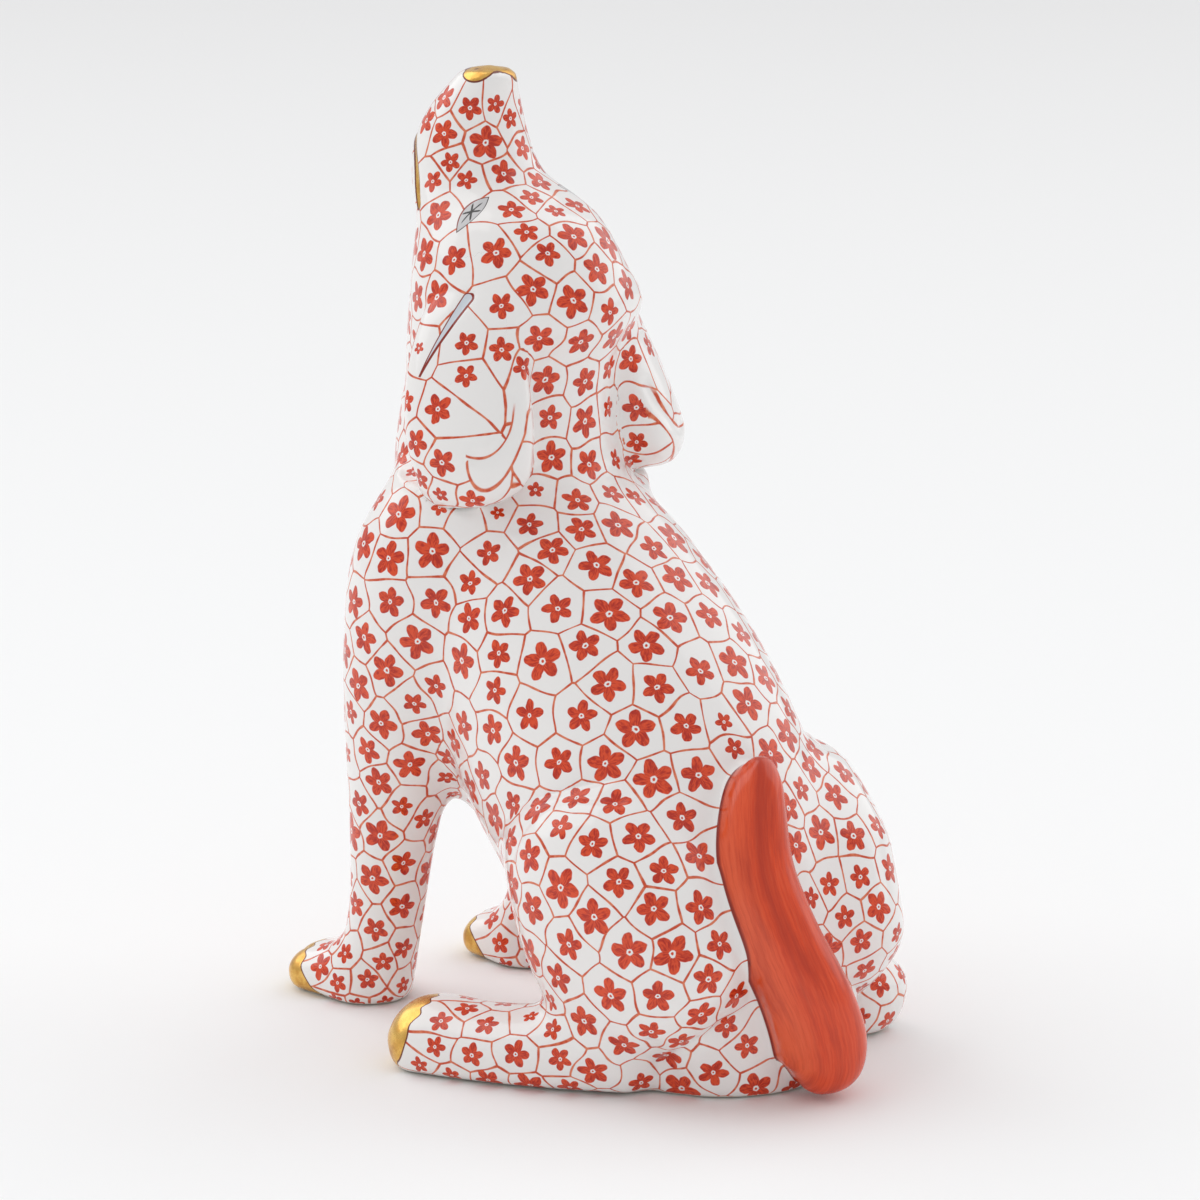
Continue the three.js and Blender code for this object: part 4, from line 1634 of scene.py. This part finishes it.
    def network(self, recipe: Recipe, place: Given) -> tuple[Given, Given]:
        """Draw the thin brushed lines halfway between neighbouring cells.

        With ab, ac and bc the signed distances to the three halfway lines, the distance to the
        cell's edge is the largest of min(ab, ac), min(-ab, bc) and min(-ac, -bc).

        Args:
            recipe: The material.
            place: The place in millimetres.

        Returns:
            The lines' mask and their colour.
        """
        add = recipe.add
        ab, ac, bc = recipe.mark("cell")
        first = add("Math.MINIMUM", ab, ac)
        second = add("Math.MINIMUM", add("Math.MULTIPLY", ab, -1.0), bc)
        third = add("Math.MULTIPLY", add("Math.MAXIMUM", ac, bc), -1.0)
        edge = add("Math.MAXIMUM", add("Math.MAXIMUM", first, second), third)
        width = add("MapRange", add("TexNoise", place, 0.45, 2.0), 0.3, 0.7, 0.085, 0.16)
        thin = add("MapRange", add("TexNoise", place, 1.1, 2.0), 0.42, 0.62)
        gap = add("Math.SUBTRACT", edge, width)
        colour = add("Mix.RGBA", thin, self.line, self.thin_line)
        return add("MapRange", gap, 0.035, -0.035), colour

    def blossom(self, recipe: Recipe, place: Given) -> tuple[Given, Given]:
        """Paint a small five-petalled blossom in each cell.

        The angle is folded to the nearest petal's axis. A petal is an ellipse on that axis,
        and its strokes are noise that is long from the centre outwards and narrow across.

        Args:
            recipe: The material.
            place: The place in millimetres.

        Returns:
            The blossom's mask and its colour.
        """
        add = recipe.add
        mark = add("Attribute", attribute_name="blossom").outputs["Vector"]
        lot = add("SeparateXYZ", mark).outputs["Z"]
        shaky = add("TexNoise", place, 0.9, 1.0).outputs["Color"]
        shaky = add("VectorMath.MULTIPLY_ADD", shaky, (0.4, 0.4, 0.0), (-0.2, -0.2, 0.0))
        flat = add("VectorMath.MULTIPLY_ADD", mark, (1.0, 1.0, 0.0), shaky)
        x, y, _ = add("SeparateXYZ", flat).outputs
        size = add("MapRange", lot, 0.0, 1.0, 1.18, 0.88)
        reach = add("Math.MULTIPLY", add("VectorMath.LENGTH", flat), size)
        angle = add("Math.ARCTAN2", y, x)
        folded = add("Math.PINGPONG", angle, math.pi / self.petals)
        out = add("Math.MULTIPLY", reach, add("Math.COSINE", folded))
        out = add("Math.MULTIPLY_ADD", out, 1 / self.petal_length, -1 / self.petal_length)
        side = add("Math.MULTIPLY", reach, add("Math.SINE", folded))
        side = add("Math.MULTIPLY", side, 1 / self.petal_width)
        petal = add("VectorMath.LENGTH", add("CombineXYZ", out, side))
        petal = add("MapRange", petal, 1.05, 0.95)
        painted = add("Math.MULTIPLY", petal, add("MapRange", reach, 0.26, 0.32))
        painted = add("Math.MAXIMUM", painted, add("MapRange", reach, 0.15, 0.1))
        painted = add("Math.MULTIPLY", painted, add("MapRange", lot, -0.6, -0.4))
        turned = add("Math.MULTIPLY", angle, 2.6)
        fan = add("CombineXYZ", add("Math.MULTIPLY", reach, 0.7), turned, lot)
        wash = add("Math.MULTIPLY", add("TexNoise", place, 0.7, 1.0), 0.4)
        strokes = add("Math.ADD", add("TexNoise", fan, 2.3, 2.0, 0.6), wash)
        deep = add("MapRange", strokes, 0.6, 0.84)
        return painted, add("Mix.RGBA", deep, self.petal, self.stroke)

    def eye(self, recipe: Recipe) -> tuple[Coats, Given]:
        """Paint the eye: a pale almond with a dark edge, and a blot with rays for its pupil.

        The distance to the almond's edge is |y| - 0.92 + 0.13 x squared. The blot is twice as
        long as it is wide, and its six rays are the cosine of three times the angle, to the
        sixth power.

        Args:
            recipe: The material.

        Returns:
            The eye's coats from the bottom up, and the mask of what is left unglazed.
        """
        add = recipe.add
        mark = add("Attribute", attribute_name="eye").outputs["Vector"]
        x, y, bare = add("SeparateXYZ", mark).outputs
        edge = add("Math.MULTIPLY_ADD", add("Math.MULTIPLY", x, x), 0.13, -0.92)
        edge = add("Math.ADD", add("Math.ABSOLUTE", y), edge)
        inside = add("MapRange", edge, 0.03, -0.03)
        rim = add("Math.SUBTRACT", edge, add("Math.MULTIPLY_ADD", y, 0.06, 0.13))
        rim_colour = add("Mix.RGBA", add("MapRange", y, -0.2, 0.5), self.black, self.dark)
        squat = add("VectorMath.MULTIPLY", mark, (0.5, 1.0, 0.0))
        along, across, _ = add("SeparateXYZ", squat).outputs
        angle = add("Math.MULTIPLY_ADD", add("Math.ARCTAN2", across, along), 3.0, 0.35)
        rays = add("Math.POWER", add("Math.COSINE", angle), 6.0)
        blot = add("Math.MULTIPLY_ADD", rays, -0.62, add("VectorMath.LENGTH", squat))
        pupil = add("Math.MULTIPLY", add("MapRange", blot, 0.3, 0.14), inside)
        coats = (
            (add("MapRange", rim, 0.04, -0.03), rim_colour),
            (inside, self.white_of_eye),
            (pupil, self.black),
        )
        return coats, add("MapRange", bare, 0.4, 0.6)


@dataclass(frozen=True)
class RedEnamel:
    """Iron-red enamel laid over the glaze in long strokes of a flat brush.

    It has the glaze's gloss, a little dulled, and the strokes run along the tail from light
    orange where the brush was dry to deep red where the colour lay thick. The side that faces
    the key lamp is lighter too: partly dry brush, partly a painted highlight.
    """

    red: str = "#DF4618"
    deep: str = "#A8260C"
    dry_brush_and_highlight: str = "#EB6C42"
    edge: str = "#98280F"
    glaze_ior: float = 1.5

    def material(self) -> bpy.types.Material:
        """Put the finish together.

        Returns:
            The material.
        """
        recipe = Recipe("brushed_iron_red_enamel")
        add = recipe.add
        along, across, _ = recipe.mark("brush")
        near_edge = recipe.mark("clear")[1]
        stretched = add("CombineXYZ", add("Math.MULTIPLY", along, 0.05), across)
        bristles = add("TexNoise", stretched, 3.6, 4.0, 0.7)
        broad = add("Math.MULTIPLY", add("TexNoise", stretched, 0.5, 2.0), 3.0)
        side = add("Math.ADD", broad, across)
        middle = add("Math.ABSOLUTE", add("Math.ADD", side, -1.9))
        laid = add("MapRange", middle, 0.9, 0.2)
        laid = add("Math.MULTIPLY", laid, add("MapRange", along, 10.0, 22.0))
        drift = add("CombineXYZ", add("Math.MULTIPLY", along, 0.12), across)
        patches = add("TexNoise", drift, 0.7, 3.0, 0.6)
        strokes = (
            (add("MapRange", bristles, 0.52, 0.3), 0.3, self.dry_brush_and_highlight),
            # Lighter towards the side that faces the key lamp: partly dry brush, partly painted
            # highlight.
            (add("MapRange", side, 2.6, 4.6), 0.45, self.dry_brush_and_highlight),
            (laid, 0.6, self.deep),
            (add("MapRange", bristles, 0.48, 0.7), 0.35, self.deep),
            (add("MapRange", patches, 0.46, 0.7), 0.55, self.deep),
            (add("MapRange", near_edge, -0.8, -0.1), 1.0, self.edge),
        )
        coats = [(add("Math.MULTIPLY", mask, share), coat) for mask, share, coat in strokes]
        bump = add("Bump", 0.2, 0.03 * MM)
        recipe.give(bump.inputs["Height"], bristles)
        return recipe.finished(
            Base_Color=recipe.layered("Mix.RGBA", self.red, coats),
            Roughness=add("MapRange", bristles, 0.3, 0.7, 0.13, 0.24),
            Normal=bump,
            IOR=self.glaze_ior,
        )


@dataclass
class Piece:
    """One casting of the finished dog: its share of the skin, closed inside."""

    casting: Casting
    skin: Skin
    painting: Painting
    owner: Array

    def build(self) -> bpy.types.Object:
        """Make the casting's object, in metres, with the skin's own smooth normals.

        Returns:
            The new object.
        """
        name = self.casting.value + "_casting"
        mine = np.nonzero(self.owner == self.casting.number)[0]
        used, local = np.unique(self.skin.quads[mine], return_inverse=True)
        quads = local.reshape(-1, 4)
        points, normals = self.skin.points[used], self.skin.normals[used]
        hubs, fans = self.close(points, normals, quads)
        mesh = bpy.data.meshes.new(name)
        corners = np.concatenate([points, hubs]) * MM
        mesh.from_pydata(corners.tolist(), [], quads.tolist() + fans.tolist(), shade_flat=False)
        mesh.validate()
        self.mark(mesh, used, mine, len(hubs), len(fans))
        smooth = np.concatenate([normals, np.zeros((len(hubs), 3))])
        mesh.normals_split_custom_set_from_vertices(smooth.tolist())
        return placed(name, mesh)

    def close(self, points: Array, normals: Array, quads: Array) -> tuple[Array, Array]:
        """Close each open rim: a strip of 1 mm straight inwards, then a fan around a point inside.

        Args:
            points: The piece's points.
            normals: Their normals.
            quads: The piece's faces.

        Returns:
            The points inside, and the triangles of the strips and the fans.
        """
        start, end = open_edges(quads)
        loop = connected(len(points), start, end, np.zeros(len(points), int))[start]
        inside = np.zeros(len(points), int)
        inside[start] = len(points) + np.arange(len(start))
        first, last = inside[start], inside[end]
        rim, distance = points[start], self.skin.clay.distance
        hubs = [rim - unit(gradient(distance, rim, distance(rim), 0.04))]
        fans = [np.stack([end, start, first], 1), np.stack([end, first, last], 1)]
        for turn, name in enumerate(np.unique(loop)):
            here = loop == name
            ring = start[here]
            centre = np.full(len(ring), len(points) + len(start) + turn)
            fans.append(np.stack([last[here], first[here], centre], 1))
            hubs.append((points[ring] - RIM_DEPTH * normals[ring]).mean(0)[None])
        return np.concatenate(hubs), np.concatenate(fans)

    def mark(self, mesh: bpy.types.Mesh, used: Array, mine: Array, hubs: int, fans: int) -> None:
        """Copy the painter's marks onto the piece, and leave the inner fans bare.

        Args:
            mesh: The piece's mesh.
            used: The skin's points that the piece has.
            mine: The skin's faces that the piece has.
            hubs: How many inner points follow the skin's.
            fans: How many inner triangles follow the skin's faces.
        """
        inner_points, inner_corners = (FAR, FAR, FAR), (FAR, FAR, -1.0)
        for domain, marks, share, count, inner in (
            ("POINT", self.painting.point_marks, used, hubs, inner_points),
            ("CORNER", self.painting.corner_marks, mine, 3 * fans, inner_corners),
        ):
            for name, values in marks.items():
                attribute = mesh.attributes.new(name, "FLOAT_VECTOR", domain)
                full = np.concatenate([values[share].reshape(-1, 3), np.tile(inner, (count, 1))])
                attribute.data.foreach_set("vector", full.astype(np.float32).ravel())


@dataclass(frozen=True)
class Studio:
    """A pale sweep of paper, soft boxes around it, and the camera that took the photograph."""

    azimuth: float = 137.0
    elevation: float = 14.5
    distance: float = 0.7
    target: Point = (0.0, -0.0179, 0.0487)
    focal_length: float = 191.1
    sensor: float = 36.0
    paper: str = "#FBFCFC"
    falloff_shaded_paper: str = "#DDDDDD"
    paper_radius: float = 3.0
    room: str = "#F4F4F5"
    room_strength: float = 0.75

    def build(self) -> None:
        """Set up the paper, the lamps, the world and the camera."""
        self.place_camera()
        self.lay_paper()
        self.hang_lamps()
        self.light_world()
        bpy.context.scene.view_settings.view_transform = "Standard"

    def towards_camera(self) -> Vector:
        """Return the unit direction from the dog to the camera."""
        a, e = math.radians(self.azimuth), math.radians(self.elevation)
        return Vector((math.sin(a) * math.cos(e), -math.cos(a) * math.cos(e), math.sin(e)))

    def place_camera(self) -> None:
        """Stand the camera where the photograph was taken from."""
        data = bpy.data.cameras.new("camera")
        data.lens = self.focal_length
        data.sensor_width = self.sensor
        camera = placed("camera", data)
        back = self.towards_camera()
        camera.location = Vector(self.target) + back * self.distance
        camera.rotation_euler = back.to_track_quat("Z", "Y").to_euler()
        bpy.context.scene.camera = camera

    def lay_paper(self) -> None:
        """Lay the floor, a wide disc of pale matt paper with painted shade that greys it far behind.
        """
        mesh = bpy.data.meshes.new("paper")
        angle = np.arange(AROUND) / AROUND * 2 * np.pi
        rim = self.paper_radius * np.stack([np.cos(angle), np.sin(angle), np.zeros(AROUND)], 1)
        mesh.from_pydata(rim.tolist(), [], [list(range(AROUND))])
        recipe = Recipe("matt_paper")
        away = tuple(-value for value in self.towards_camera().to_2d().normalized()) + (0.0,)
        place = recipe.add("TexCoord").outputs["Object"]
        # Painted shade: the paper greys away from the camera, the way the lamps' light falls off.
        depth = recipe.add("MapRange", recipe.add("VectorMath.DOT_PRODUCT", place, away), -0.1, 0.75)
        colour = recipe.add("Mix.RGBA", depth, self.paper, self.falloff_shaded_paper)
        mesh.materials.append(recipe.finished(Base_Color=colour, Roughness=0.9))
        placed("paper", mesh)

    def hang_lamps(self) -> None:
        """Hang the soft boxes: a large one above and to the left, and a weaker one to the right."""
        lamps = (
            ("key_box", (-0.9, 0.5, 1.1), 1.7, 10.5),
            ("fill_box", (0.9, 0.6, 0.7), 1.4, 4.8),
        )
        centre = Vector((0.0, -0.018, 0.05))
        azimuth = math.radians(self.azimuth)
        right = Vector((math.cos(azimuth), math.sin(azimuth), 0))
        level = right.cross(Vector((0, 0, 1)))
        for name, (across, near, height), size, power in lamps:
            data = bpy.data.lights.new(name, "AREA")
            data.shape = "SQUARE"
            data.size = size
            data.energy = power
            lamp = placed(name, data)
            lamp.location = centre + right * across - level * near + Vector((0, 0, height))
            lamp.rotation_euler = (lamp.location - centre).to_track_quat("Z", "Y").to_euler()

    def light_world(self) -> None:
        """Fill the room with even white light."""
        world = bpy.data.worlds.new("room")
        world.use_nodes = True
        background = world.node_tree.nodes["Background"].inputs
        background["Color"].default_value = linear(self.room)
        background["Strength"].default_value = self.room_strength
        bpy.context.scene.world = world


def main() -> None:
    """Build the dog around the frame, piece by piece, and set up the studio."""
    logging.basicConfig(level=logging.INFO, format="%(message)s")
    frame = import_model()
    LOG.info("frame: %d nodes", len(frame["nodes"]))
    Studio().build()
    skin = Skin(Clay())
    skin.lay()
    owner = skin.castings()
    skin.true_seams(owner)
    owner = skin.pierce(Vent(), owner)
    painting = Painting(skin)
    painting.paint()
    porcelain, enamel = PaintedPorcelain().material(), RedEnamel().material()
    for casting in Casting:
        piece = Piece(casting, skin, painting, owner).build()
        piece.data.materials.append(enamel if casting is Casting.TAIL else porcelain)
        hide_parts(casting.value)
        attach(piece, "root")
        LOG.info("%s: %d faces", piece.name, len(piece.data.polygons))


if __name__ == "__main__":
    main()
